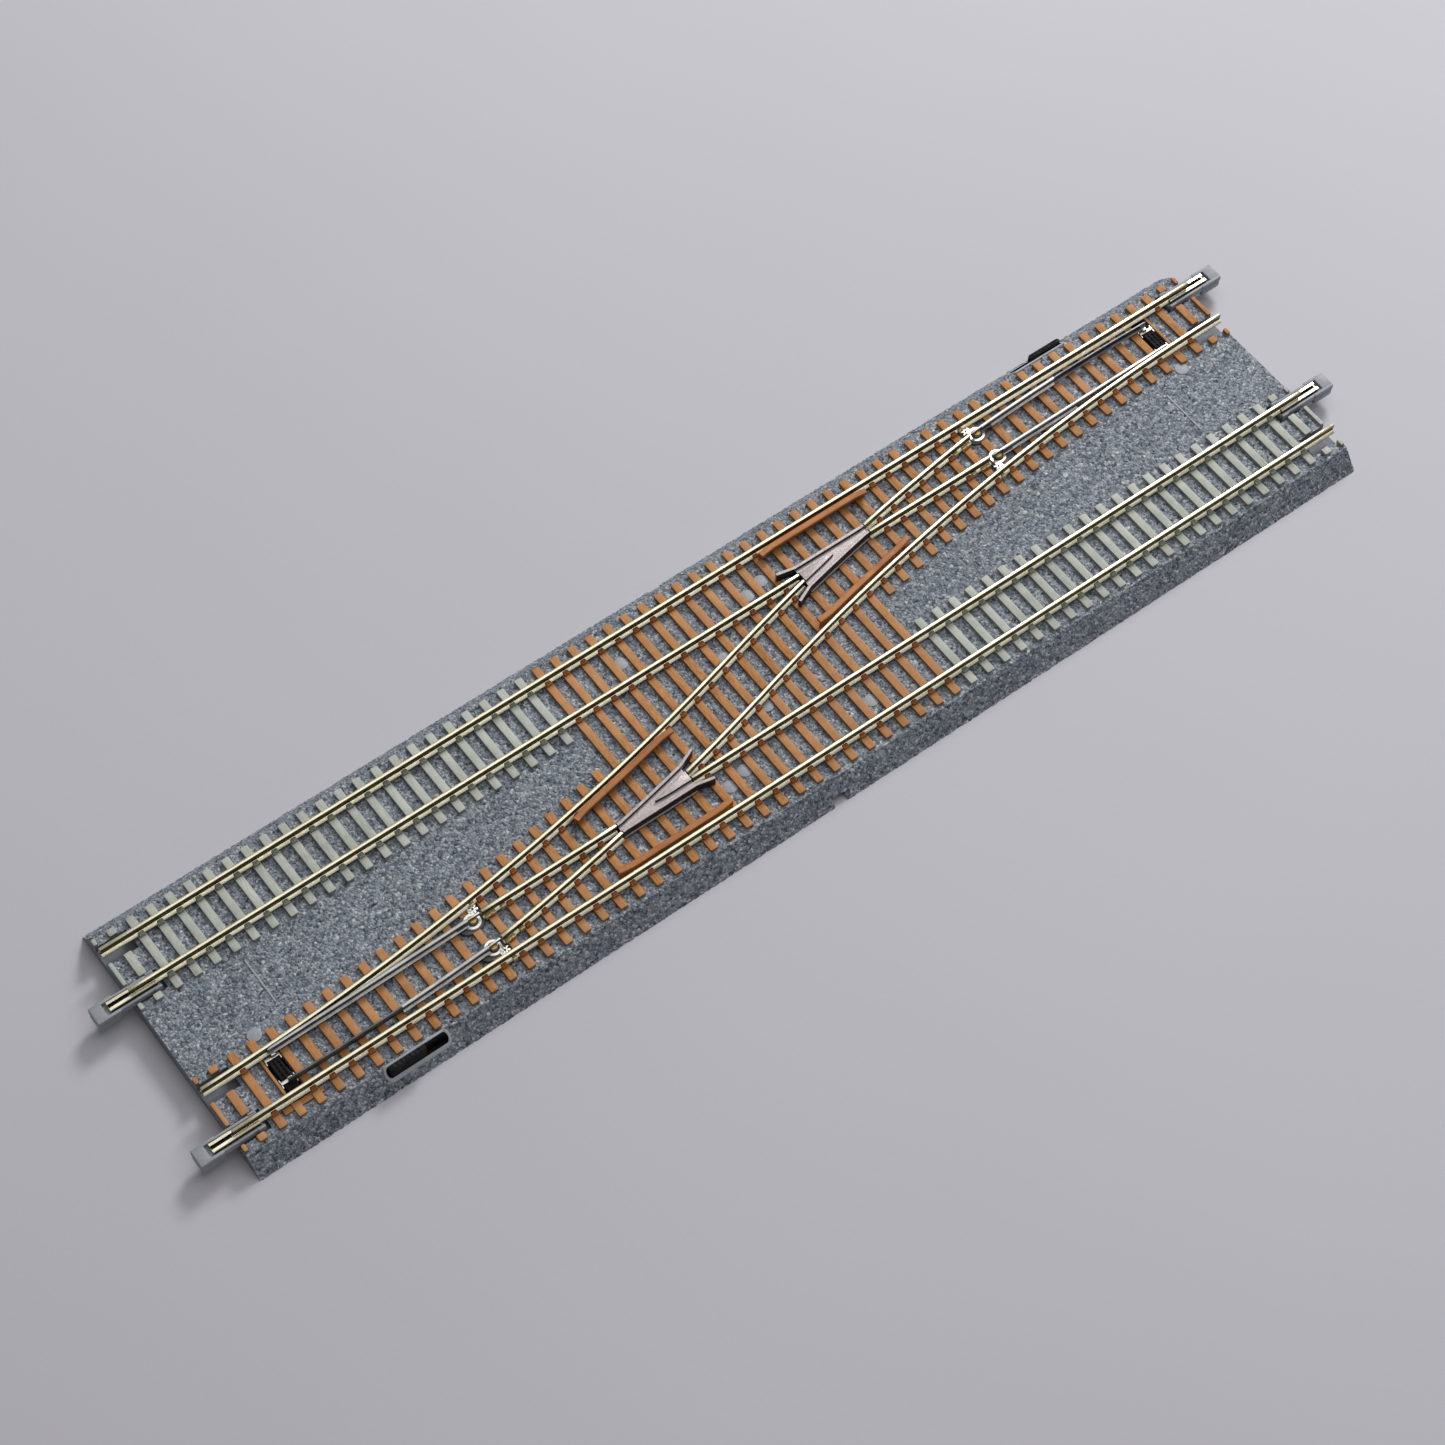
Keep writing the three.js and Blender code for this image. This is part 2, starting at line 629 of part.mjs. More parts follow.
// Plastic clip that carries the metal joiner and reaches under the next piece of track.
function joinerHolder(y) {
  const half = HOLDER_WIDTH / 2;
  const groove = FOOT_WIDTH / 2 + 0.1 + SHEET + 2 * FIT;
  return cut(box(-HOLDER_OUT, HOLDER_IN, y - half, y + half, HOLDER_BASE, FOOT_TOP), [
    box(-HOLDER_OUT + 1, HOLDER_IN + 1, y - groove, y + groove, JOINER_FLOOR - SHEET - FIT, RAIL_TOP),
  ]);
}

// Folded metal channel around the foot of the rail.
function railJoiner(y) {
  const inner = FOOT_WIDTH / 2 + 0.1;
  const outer = inner + SHEET;
  const lip = WEB_WIDTH / 2 + 0.3;
  const base = JOINER_FLOOR - SHEET;
  const top = JOINER_LIP + SHEET;
  const section = [
    [-outer, base],
    [outer, base],
    [outer, top],
    [lip, top],
    [lip, JOINER_LIP],
    [inner, JOINER_LIP],
    [inner, JOINER_FLOOR],
    [-inner, JOINER_FLOOR],
    [-inner, JOINER_LIP],
    [-lip, JOINER_LIP],
    [-lip, top],
    [-outer, top],
  ];
  return prism(
    section.map(([u, z]) => [y + u, z]),
    -JOINER_OUT,
    JOINER_IN,
  );
}

const JOINER_LINES = [-RAIL_Y, SPACING - RAIL_Y];
const POCKET_LINES = [-RAIL_Y, RAIL_Y, SPACING - RAIL_Y, SPACING + RAIL_Y];

// Pockets at an end: two hold the joiner clips, two take those of the next piece of track.
function pockets() {
  const half = HOLDER_WIDTH / 2 + LOOSE;
  return POCKET_LINES.map((y) =>
    box(-1, POCKET_LENGTH, y - half, y + half, HOLDER_BASE - 2 * FIT, RAIL_TOP),
  );
}

// ---- Sleepers ----

function sleeper(index, y0, y1) {
  const x = index * PITCH;
  const x0 = Math.max(x - SLEEPER_WIDTH / 2, 0);
  const x1 = Math.min(x + SLEEPER_WIDTH / 2, LENGTH);
  return box(x0, x1, y0, y1, SLEEPER_BASE, SLEEPER_TOP);
}

function webBar(x0, x1, y) {
  return box(x0, x1, y - WEB_BAR / 2, y + WEB_BAR / 2, SLEEPER_BASE, WEB_TOP);
}

// Low bars at the end of a strip that hold the short pieces of sleeper beside the pockets.
function endBars(centre) {
  const reach = Math.ceil((POCKET_LENGTH + SLEEPER_WIDTH / 2) / PITCH) * PITCH;
  const edge = SLEEPER_LENGTH / 2 - WEB_BAR / 2;
  return [-edge, 0, edge].map((y) => webBar(0, reach, centre + y));
}

const BAR_SLOT_HALF = BAR_WIDTH / 2 + BRACKET_GAP + SHEET + RUNNING;

// Slot across the sleepers and the roadbed that the throw bar moves in.
function throwSlot(z0, z1) {
  const x0 = BAR_CENTRE - BAR_SLOT_HALF;
  const x1 = BAR_CENTRE + BAR_SLOT_HALF;
  return box(x0, x1, BAR_Y0 - THROW - LOOSE, BAR_Y1 + LOOSE, z0, z1);
}

function heelHoles(radius, z0, z1) {
  return Object.values(BLADES).map((blade) => post(...pivotOf(blade), radius, z0, z1, 8));
}

// Guard rails opposite the frog, moulded on the sleepers: a flat top on a thin wall beside the stock
// rail, with ends that bend away from it.
function guardRails() {
  const x0 = FROG_POINT - GUARD_BEFORE;
  const x1 = FROG_POINT + GUARD_AFTER;
  const near = HEAD_WIDTH / 2 + GUARD_GAP;
  const wall = FOOT_WIDTH / 2 + 2 * FIT + GUARD_WEB / 2;
  const top = RAIL_TOP - GUARD_DROP;
  const steps = 6;
  return [
    [() => -RAIL_Y, 1],
    [(x) => crossingY(x, RAIL_Y), -1],
  ].flatMap(([line, inward]) => {
    const pathAt = (offset) =>
      Array.from({ length: steps + 1 }, (_, i) => {
        const x = x0 + ((x1 - x0) * i) / steps;
        const flare = i === 0 || i === steps ? 0.4 : 0;
        return [x, line(x) + inward * (offset + flare)];
      });
    return [
      strip(pathAt(near + GUARD_WIDTH / 2), GUARD_WIDTH / 2, top - GUARD_DEPTH, top),
      strip(pathAt(wall), GUARD_WEB / 2, WEB_TOP, top - GUARD_DEPTH + FIT),
    ];
  });
}

// Brown sleepers of both turnouts, joined by a bar under the outer rail of each track.
function woodSleepers() {
  const half = SLEEPER_LENGTH / 2;
  const oneEnd = [];
  for (let i = 0; i < FIRST_LONG; i++) {
    const far = crossingY(i * PITCH, RAIL_Y) + SLEEPER_OVERHANG;
    oneEnd.push(sleeper(i, -half, Math.max(half, far)));
  }
  oneEnd.push(webBar(0, LAST_LONG * PITCH, -RAIL_Y));
  const guide = throwSlot(0, 1);
  guide.computeBoundingBox();
  for (const y of [guide.boundingBox.min.y - WEB_BAR / 2, guide.boundingBox.max.y + WEB_BAR / 2]) {
    oneEnd.push(webBar(BAR_CENTRE - PITCH, BAR_CENTRE + PITCH, y));
  }
  oneEnd.push(...endBars(0), ...guardRails());
  const long = [];
  for (let i = FIRST_LONG; i <= LAST_LONG; i++) {
    long.push(sleeper(i, -half, SPACING + half).translate(-LENGTH / 2, -SPACING / 2, 0));
  }
  const tools = [
    ...pockets(),
    throwSlot(0, RAIL_TOP),
    ...heelHoles(PIN_RADIUS + 2 * FIT, 0, RAIL_TOP),
  ];
  return cut(fuse([...atBothEnds(oneEnd), ...long]), atBothEnds(tools));
}

// Grey sleepers of the other track, beside a turnout.
function concreteSleepers() {
  const half = SLEEPER_LENGTH / 2;
  const pieces = [];
  for (let i = 0; i < FIRST_LONG; i++) {
    pieces.push(sleeper(i, SPACING - half, SPACING + half));
  }
  pieces.push(webBar(0, (FIRST_LONG - 1) * PITCH, SPACING + RAIL_Y));
  return cut(fuse([...pieces, ...endBars(SPACING)]), pockets());
}

// ---- Roadbed and cover ----

// Half width of the shoulder at a height.
function shoulderAt(z) {
  return SPACING / 2 + BASE_MARGIN - ((BASE_MARGIN - TOP_MARGIN) * z) / ROADBED_HEIGHT;
}

const SCREW_X = LENGTH / 2 - SCREW_INSET;
const SCREWS = [
  [-SCREW_X, -SCREW_Y],
  [SCREW_X, -SCREW_Y],
  [SCREW_X, SCREW_Y],
  [-SCREW_X, SCREW_Y],
];

// Ballasted shell, hollow underneath.
function roadbed() {
  const section = (z0, z1, wall) => [
    [-shoulderAt(z0) + wall, z0],
    [shoulderAt(z0) - wall, z0],
    [shoulderAt(z1) - wall, z1],
    [-shoulderAt(z1) + wall, z1],
  ];
  const outside = prism(section(0, ROADBED_HEIGHT, 0), -LENGTH / 2, LENGTH / 2);
  const inside = prism(
    section(-1, CEILING, SIDE_WALL),
    HOLLOW_START - LENGTH / 2,
    LENGTH / 2 - HOLLOW_START,
  );
  const bosses = SCREWS.map(([x, y]) =>
    post(x, y, SCREW_RADIUS + BOSS_WALL, COVER_DEPTH + FIT, CEILING + 0.2),
  );
  const pilots = SCREWS.map(([x, y]) => post(x, y, SCREW_RADIUS + FIT, 0, CEILING, 8));
  const inlets = [-1, 1].map((side) => {
    const y = side * shoulderAt(0);
    return box(-INLET_WIDTH / 2, INLET_WIDTH / 2, y - 4, y + 4, -1, INLET_HEIGHT);
  });
  const slotHalf = SLOT_LENGTH / 2 - SLOT_WIDTH / 2;
  const tools = [
    ...pockets(),
    throwSlot(0, RAIL_TOP),
    ...heelHoles(PIN_RADIUS + FIT, 0, RAIL_TOP),
    slot(
      SLOT_CENTRE - slotHalf,
      SLOT_Y,
      SLOT_CENTRE + slotHalf,
      SLOT_Y,
      SLOT_WIDTH / 2,
      COVER_DEPTH,
      RAIL_TOP,
    ),
  ];
  const shell = fuse([cut(outside, [inside]), ...bosses]);
  return cut(shell, [...pilots, ...inlets, ...atBothEnds(tools)]);
}

function bottomCover() {
  const x = LENGTH / 2 - HOLLOW_START - LOOSE;
  const y = shoulderAt(COVER_DEPTH) - SIDE_WALL - LOOSE;
  const holes = SCREWS.flatMap(([sx, sy]) => [
    post(sx, sy, SCREW_RADIUS + RUNNING, -1, COVER_DEPTH + 1, 8),
    post(sx, sy, SCREW_HEAD_RADIUS + LOOSE, -1, SCREW_HEAD_DEPTH + 2 * FIT),
  ]);
  return cut(box(-x, x, -y, y, 0, COVER_DEPTH), holes);
}

function coverScrew() {
  return fuse([
    post(0, 0, SCREW_HEAD_RADIUS, FIT, FIT + SCREW_HEAD_DEPTH),
    post(0, 0, SCREW_RADIUS, FIT, CEILING - 0.4, 8),
  ]);
}

function circuitBoard() {
  const y = -SPACING / 2;
  const top = CEILING - 2 * FIT;
  return box(
    -BOARD_LENGTH / 2,
    BOARD_LENGTH / 2,
    y - BOARD_WIDTH / 2,
    y + BOARD_WIDTH / 2,
    top - BOARD_DEPTH,
    top,
  );
}

// Solder terminal on the board, behind the cable inlet.
function cableTerminal() {
  const y = -SPACING / 2 - BOARD_WIDTH / 2;
  const top = CEILING - BOARD_DEPTH - 3 * FIT;
  return box(-3, 3, y + 0.5, y + 4.5, COVER_DEPTH + 2 * FIT, top);
}

// ---- Materials ----

function surface(color, roughness, metalness) {
  return new THREE.MeshStandardMaterial({ color, roughness, metalness });
}

const BALLAST = surface(0x858a90, 0.95, 0);
const WOOD = surface(0xa9683c, 0.75, 0);
const CONCRETE = surface(0xa3a798, 0.85, 0);
const NICKEL = surface(0xdcd2b0, 0.28, 1);
const STEEL = surface(0xcdcdca, 0.3, 1);
const FROG_METAL = surface(0x75686a, 0.5, 0.8);
const BRASS = surface(0xc6a24c, 0.3, 1);
const IRON = surface(0x6d6f72, 0.45, 1);
const COPPER = surface(0xb8622f, 0.35, 1);
const BLACK_PLASTIC = surface(0x141516, 0.5, 0);
const GREY_PLASTIC = surface(0x82858a, 0.6, 0);
const BOARD = surface(0x2f5a3c, 0.6, 0);

// ---- Assembly ----

function part(name, geometry, material) {
  const flat = geometry.index ? geometry.toNonIndexed() : geometry;
  flat.computeVertexNormals();
  const mesh = new THREE.Mesh(flat, material);
  mesh.name = name;
  return mesh;
}

const crossover = new THREE.Group();
crossover.add(
  part("roadbed", roadbed(), BALLAST),
  part("bottom_cover", bottomCover(), BLACK_PLASTIC),
  part("wood_sleepers", woodSleepers(), WOOD),
  part("circuit_board", circuitBoard(), BOARD),
  part("cable_terminal", cableTerminal(), GREY_PLASTIC),
);
SCREWS.forEach(([x, y], i) => {
  const screw = part("cover_screw_" + (i + 1), coverScrew(), STEEL);
  screw.position.set(x, y, 0);
  crossover.add(screw);
});

for (const end of ENDS) {
  const group = groups[end];
  const add = (name, geometry, material) => {
    const mesh = part(name + "_" + end, geometry, material);
    group.add(mesh);
    return mesh;
  };
  add("concrete_sleepers", concreteSleepers(), CONCRETE);
  add("stock_rail_straight", rail(straightPath(0, LENGTH, -RAIL_Y)), NICKEL);
  add("stock_rail_curved", curvedStockRail(), NICKEL);
  add("closure_rail_straight", rail(straightPath(CLOSURE_START, CLOSURE_END, RAIL_Y)), NICKEL);
  add("closure_rail_curved", curvedClosureRail(), NICKEL);
  add("frog_rail", rail(straightPath(FROG_HEEL_X + RAIL_JOINT, LENGTH, RAIL_Y)), NICKEL);
  add("frog", frog(), FROG_METAL);
  for (const [kind, blade] of Object.entries(BLADES)) {
    const mesh = add("blade_" + kind, bladeGeometry(blade), STEEL);
    mesh.position.set(...pivotOf(blade), 0);
    mesh.rotation.z = blade.rest;
    add("heel_contact_" + kind, heelContact(blade), STEEL);
    add("heel_pin_" + kind, heelPin(blade), BRASS);
  }
  add("throw_bar", throwBar(), BLACK_PLASTIC);
  add("drive_slide", driveSlide(), BLACK_PLASTIC);
  add("manual_lever", manualLever(), BLACK_PLASTIC);
  add("plunger", plunger(), IRON);
  add("coil_bobbin", coilBobbin(), GREY_PLASTIC);
  add("coil_winding", coilWinding(), COPPER);
  add("detent_spring", detentSpring(), STEEL);
  JOINER_LINES.forEach((y, i) => {
    add("joiner_holder_" + (i + 1), joinerHolder(y), GREY_PLASTIC);
    add("rail_joiner_" + (i + 1), railJoiner(y), STEEL);
  });
  crossover.add(group);
}

export default crossover;
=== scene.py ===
"""Looks of the double-track crossover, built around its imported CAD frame.

Lengths are in millimetres until a mesh is made. Most shapes are made once in "end" coordinates, as in the
CAD model: x runs from one end towards the middle, y = 0 is the centre line of the track whose turnout
starts at that end, and y = SPACING is the other track. The object looks the same after half a turn.
"""

import math

import bmesh
import bpy
import numpy as np
from mathutils import Matrix, Vector


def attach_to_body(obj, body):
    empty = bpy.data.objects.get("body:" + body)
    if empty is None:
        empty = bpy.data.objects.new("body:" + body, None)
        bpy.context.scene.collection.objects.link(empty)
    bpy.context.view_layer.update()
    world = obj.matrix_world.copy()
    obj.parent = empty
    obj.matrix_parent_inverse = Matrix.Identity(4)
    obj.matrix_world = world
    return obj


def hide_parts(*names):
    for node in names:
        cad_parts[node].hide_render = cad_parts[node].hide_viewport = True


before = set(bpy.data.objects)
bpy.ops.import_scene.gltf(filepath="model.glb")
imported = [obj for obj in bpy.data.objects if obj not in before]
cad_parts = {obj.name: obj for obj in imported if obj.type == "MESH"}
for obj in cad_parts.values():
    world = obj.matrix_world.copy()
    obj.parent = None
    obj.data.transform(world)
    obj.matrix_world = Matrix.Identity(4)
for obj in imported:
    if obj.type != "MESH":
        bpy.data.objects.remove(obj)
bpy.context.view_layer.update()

MM = 0.001
ENDS = ("west", "east")

# ---- Dimensions shared with the CAD model, in mm ----

LENGTH = 248.0
SPACING = 33.0
RAIL_Y = 4.825
HEAD_WIDTH = 0.65
FOOT_WIDTH = 1.7
RAIL_BASE = 4.95
FOOT_TOP = 5.3
RAIL_TOP = 7.0
ROADBED_TOP = 4.3
TOP_EDGE = 25.7
BASE_EDGE = 29.0
SLEEPER_BASE = 4.35
SLEEPER_TOP = 4.9
WEB_TOP = 4.6
SLEEPER_WIDTH = 1.6
HALF_SLEEPER = 8.45
SLEEPERS = 63
PITCH = LENGTH / SLEEPERS
FIRST_LONG = 24
OVERHANG = 3.6
TURN = 2 * math.atan(SPACING / LENGTH)
RADIUS = LENGTH / 2 / math.sin(TURN)
POCKET_LENGTH = 6.3
POCKET_HALF = 2.2
BLADE_TIP = 13.0
BLADE_TAPER = 14.0
BLADE_BASE = 5.4
BLADE_TOP = 6.95
TIP_WIDTH = 0.44
THROW = 1.9
BAR_CENTRE = 13.2
BAR_WIDTH = 2.2
LEG_X = BAR_CENTRE + 0.4
HEEL_SPREAD = 3.23
WING_OFFSET = 1.65
FLARE = 0.8
SLOT_CENTRE = 33.8
SLOT_LENGTH = 12.5
SLOT_WIDTH = 1.4
SLOT_Y = -10.05
LEVER_X = 31.8
LEVER_LENGTH = 7.6
HOLDER_OUT = 7.4
HOLDER_IN = 5.5


def spread_x(spread):
    """Where the crossing rail has come a distance past the straight rail that it cuts."""
    return math.sqrt((2 * RADIUS - spread) * (2 * RAIL_Y + spread))


HEEL_X = math.sqrt((2 * RADIUS + 2 * RAIL_Y - HEEL_SPREAD) * HEEL_SPREAD)
KNUCKLE = spread_x(-WING_OFFSET)
FROG_POINT = spread_x(0)
FROG_TOE = KNUCKLE - 0.47
FROG_HEEL = spread_x(1.52)
OPEN_ANGLE = math.asin(THROW / (HEEL_X - LEG_X))
GUARD_START = FROG_POINT - 14.4
GUARD_END = FROG_POINT + 10.5


def crossing_y(x, left):
    """Y of the crossing track, a distance to the left of its centre line."""
    if x <= LENGTH / 2 - left * math.sin(TURN):
        return RADIUS - math.sqrt((RADIUS - left) ** 2 - x * x)
    return SPACING - RADIUS + math.sqrt((RADIUS + left) ** 2 - (LENGTH - x) ** 2)


# ---- Meshes from points and faces ----


def band(count, first, second):
    """Faces between two closed rings, each given by the number of its first point."""
    faces = []
    for i in range(count):
        j = (i + 1) % count
        faces.append((first + i, first + j, second + j, second + i))
    return faces


class Shape:
    """Points and faces of one piece, in mm. Each face has the number of its material."""

    def __init__(self):
        self.points = []
        self.faces = []
        self.materials = []

    def add(self, points, faces, material=0):
        first = len(self.points)
        self.points += [tuple(p) for p in points]
        self.faces += [tuple(first + i for i in face) for face in faces]
        self.materials += [material] * len(faces)

    def loft(self, rings, material=0):
        """Skin over closed rings of equal length, with both ends capped."""
        count = len(rings[0])
        last = (len(rings) - 1) * count
        faces = []
        for start in range(0, last, count):
            faces += band(count, start, start + count)
        faces.append(tuple(reversed(range(count))))
        faces.append(tuple(range(last, last + count)))
        self.add([p for ring in rings for p in ring], faces, material)


def inset(outline, distance):
    """A plan outline moved inward, with mitred corners."""
    moved = []
    count = len(outline)
    for i in range(count):
        before, here, after = (Vector(outline[(i + k) % count][:2]) for k in (-1, 0, 1))
        first = (here - before).normalized()
        second = (after - here).normalized()
        n1 = Vector((-first.y, first.x))
        n2 = Vector((-second.y, second.x))
        mitre = n1 + n2
        moved.append(tuple(here + mitre * (distance / max(0.3, 1 + n1.dot(n2)))))
    return moved


def rounded_plate(shape, outline, z0, z1, radius=0.1, material=0, below=False):
    """A plan outline (counter-clockwise) raised between two heights, with a rounded upper edge."""
    steps = [(0, 1.0), (0.3, 0.3), (1, 0)]
    rings = []
    if below:
        rings += [(radius * a, z0 + radius * b) for a, b in reversed(steps)]
    else:
        rings.append((0, z0))
    rings += [(radius * a, z1 - radius * b) for a, b in steps]
    lofted = []
    for distance, z in rings:
        lofted.append([(x, y, z) for x, y in inset(outline, distance)])
    shape.loft(lofted, material)


def add_ring(shape, loops, material=0):
    """A closed ring: each loop is joined to the next, and the last to the first."""
    count = len(loops[0])
    total = count * len(loops)
    faces = []
    for start in range(0, total, count):
        faces += band(count, start, (start + count) % total)
    shape.add([p for loop in loops for p in loop], faces, material)


def rectangle(x0, x1, y0, y1, corner=0.0):
    if corner <= 0:
        return [(x0, y0), (x1, y0), (x1, y1), (x0, y1)]
    c = corner
    k = 0.3 * c
    return [
        (x0 + c, y0), (x1 - c, y0), (x1 - k, y0 + k), (x1, y0 + c),
        (x1, y1 - c), (x1 - k, y1 - k), (x1 - c, y1), (x0 + c, y1),
        (x0 + k, y1 - k), (x0, y1 - c), (x0, y0 + c), (x0 + k, y0 + k),
    ]


def turned(points, angle, centre):
    """Points turned about an upright axis, and moved to a centre."""
    c, s = math.cos(angle), math.sin(angle)
    return [(centre[0] + c * p[0] - s * p[1], centre[1] + s * p[0] + c * p[1], *p[2:]) for p in points]


def sided(outline, side):
    """An outline in plan, mirrored to the other side of the X axis if side is negative."""
    return outline if side > 0 else [(x, -y) for x, y in reversed(outline)]


def circle(x, y, radius, sides=24):
    angles = [2 * math.pi * i / sides for i in range(sides)]
    return [(x + radius * math.cos(a), y + radius * math.sin(a)) for a in angles]


def stadium(x0, x1, y, radius, sides=10):
    """An outline with round ends along X."""
    points = []
    for x, start in ((x1, -math.pi / 2), (x0, math.pi / 2)):
        for i in range(sides + 1):
            a = start + math.pi * i / sides
            points.append((x + radius * math.cos(a), y + radius * math.sin(a)))
    return points


def headings(path):
    """Left normal at each point of a path in plan."""
    normals = []
    for i in range(len(path)):
        ax, ay = path[max(i - 1, 0)][:2]
        bx, by = path[min(i + 1, len(path) - 1)][:2]
        run = math.hypot(bx - ax, by - ay)
        normals.append((-(by - ay) / run, (bx - ax) / run))
    return normals


def sweep(shape, path, profile, material=0):
    """Draws a section along a path. profile(i) gives (offset to the right, height) points."""
    rings = []
    for i, ((x, y), (nx, ny)) in enumerate(zip(path, headings(path))):
        rings.append([(x - nx * u, y - ny * u, z) for u, z in profile(i)])
    shape.loft([list(reversed(r)) for r in rings], material)


def place(points, end):
    """End coordinates to the object's frame, in mm."""
    if end == "west":
        return [(x - LENGTH / 2, y - SPACING / 2, z) for x, y, z in points]
    return [(LENGTH / 2 - x, SPACING / 2 - y, z) for x, y, z in points]


def new_object(name, data):
    obj = bpy.data.objects.new(name, data)
    bpy.context.scene.collection.objects.link(obj)
    return obj


def new_mesh(name, points, shape, materials, triangulate=False):
    """A shape's faces on the given points, all facing out."""
    mesh = bpy.data.meshes.new(name)
    mesh.from_pydata([tuple(c * MM for c in p) for p in points], [], shape.faces)
    for material in materials:
        mesh.materials.append(material)
    mesh.polygons.foreach_set("material_index", shape.materials)
    work = bmesh.new()
    work.from_mesh(mesh)
    bmesh.ops.recalc_face_normals(work, faces=work.faces)
    if triangulate:
        bmesh.ops.triangulate(work, faces=work.faces)
    work.to_mesh(mesh)
    work.free()
    return mesh


def make(name, shape, materials, body, replaced=(), end=None, smooth=35):
    """Makes the mesh object of a piece and ties it to the frame."""
    points = place(shape.points, end) if end else shape.points
    mesh = new_mesh(name, points, shape, materials)
    finish_mesh(mesh, smooth)
    attach(new_object(name, mesh), body, replaced)


def finish_mesh(mesh, smooth):
    if smooth:
        mesh.polygons.foreach_set("use_smooth", [True] * len(mesh.polygons))
        mesh.set_sharp_from_angle(angle=math.radians(smooth))
    mesh.update()


def attach(piece, body, replaced=()):
    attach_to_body(piece, body)
    if replaced:
        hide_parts(*replaced)


# ---- Materials ----


class Nodes:
    """A material's node tree, with short calls for the nodes that are used again and again."""

    def __init__(self, name, roughness=0.6, metallic=0.0, specular=0.5):
        self.material = bpy.data.materials.new(name)
        self.material.use_nodes = True
        self.tree = self.material.node_tree
        self.shader = self.tree.nodes["Principled BSDF"]
        self.shader.inputs["Roughness"].default_value = roughness
        self.shader.inputs["Metallic"].default_value = metallic
        self.shader.inputs["Specular IOR Level"].default_value = specular
        self.coords = self.tree.nodes.new("ShaderNodeTexCoord").outputs["Object"]

    def link(self, a, b):
        self.tree.links.new(a, b)

    def stretched(self, x, y, z):
        node = self.tree.nodes.new("ShaderNodeMapping")
        node.inputs["Scale"].default_value = (x, y, z)
        self.link(self.coords, node.inputs["Vector"])
        return node.outputs["Vector"]

    def noise(self, size, detail=3.0, vector=None, distortion=0.0):
        """Noise whose features are about size mm across."""
        node = self.tree.nodes.new("ShaderNodeTexNoise")
        node.inputs["Scale"].default_value = 1 / (size * MM)
        node.inputs["Detail"].default_value = detail
        node.inputs["Distortion"].default_value = distortion
        self.link(vector or self.coords, node.inputs["Vector"])
        return node.outputs["Fac"]

    def cells(self, size, output="Color", feature="F1", vector=None):
        """Cells about size mm across."""
        node = self.tree.nodes.new("ShaderNodeTexVoronoi")
        node.feature = feature
        node.inputs["Scale"].default_value = 1 / (size * MM)
        self.link(vector or self.coords, node.inputs["Vector"])
        return node.outputs[output]

    def ramp(self, value, stops, constant=False):
        node = self.tree.nodes.new("ShaderNodeValToRGB")
        node.color_ramp.interpolation = "CONSTANT" if constant else "LINEAR"
        elements = node.color_ramp.elements
        while len(elements) < len(stops):
            elements.new(0.5)
        for element, (position, color) in zip(elements, stops):
            element.position = position
            element.color = linear(color)
        self.link(value, node.inputs["Fac"])
        return node.outputs["Color"]

    def mix(self, factor, a, b, blend="MIX"):
        """Mixes two colours. Each is a socket or an sRGB triple, and so is the factor or a number."""
        node = self.tree.nodes.new("ShaderNodeMix")
        node.data_type = "RGBA"
        node.blend_type = blend
        if isinstance(factor, (int, float)):
            node.inputs["Factor"].default_value = factor
        else:
            self.link(factor, node.inputs["Factor"])
        for key, value in (("A", a), ("B", b)):
            socket = [s for s in node.inputs if s.name == key and s.type == "RGBA"][0]
            if isinstance(value, tuple):
                socket.default_value = linear(value)
            else:
                self.link(value, socket)
        return [s for s in node.outputs if s.type == "RGBA"][0]

    def span(self, value, from_low, from_high, low, high):
        node = self.tree.nodes.new("ShaderNodeMapRange")
        node.inputs["From Min"].default_value = from_low
        node.inputs["From Max"].default_value = from_high
        node.inputs["To Min"].default_value = low
        node.inputs["To Max"].default_value = high
        self.link(value, node.inputs["Value"])
        return node.outputs["Result"]

    def axis(self, source, name):
        """One axis of the object's coordinates or of its normal."""
        node = self.tree.nodes.new("ShaderNodeSeparateXYZ")
        self.link(source, node.inputs["Vector"])
        return node.outputs[name]

    def normal(self):
        return self.tree.nodes.new("ShaderNodeTexCoord").outputs["Normal"]

    def color(self, socket):
        self.link(socket, self.shader.inputs["Base Color"])

    def roughness(self, socket):
        self.link(socket, self.shader.inputs["Roughness"])

    def bump(self, *heights):
        """Bumps from pairs of a height socket and its depth in mm, laid over each other."""
        under = None
        for height, depth in heights:
            node = self.tree.nodes.new("ShaderNodeBump")
            node.inputs["Strength"].default_value = 1.0
            node.inputs["Distance"].default_value = depth * MM
            self.link(height, node.inputs["Height"])
            if under:
                self.link(under, node.inputs["Normal"])
            under = node.outputs["Normal"]
        self.link(under, self.shader.inputs["Normal"])


def linear(color):
    """An sRGB triple from 0 to 255 as the linear values a node takes."""
    out = []
    for c in color:
        c /= 255
        out.append(c / 12.92 if c <= 0.04045 else ((c + 0.055) / 1.055) ** 2.4)
    return (*out, 1.0)


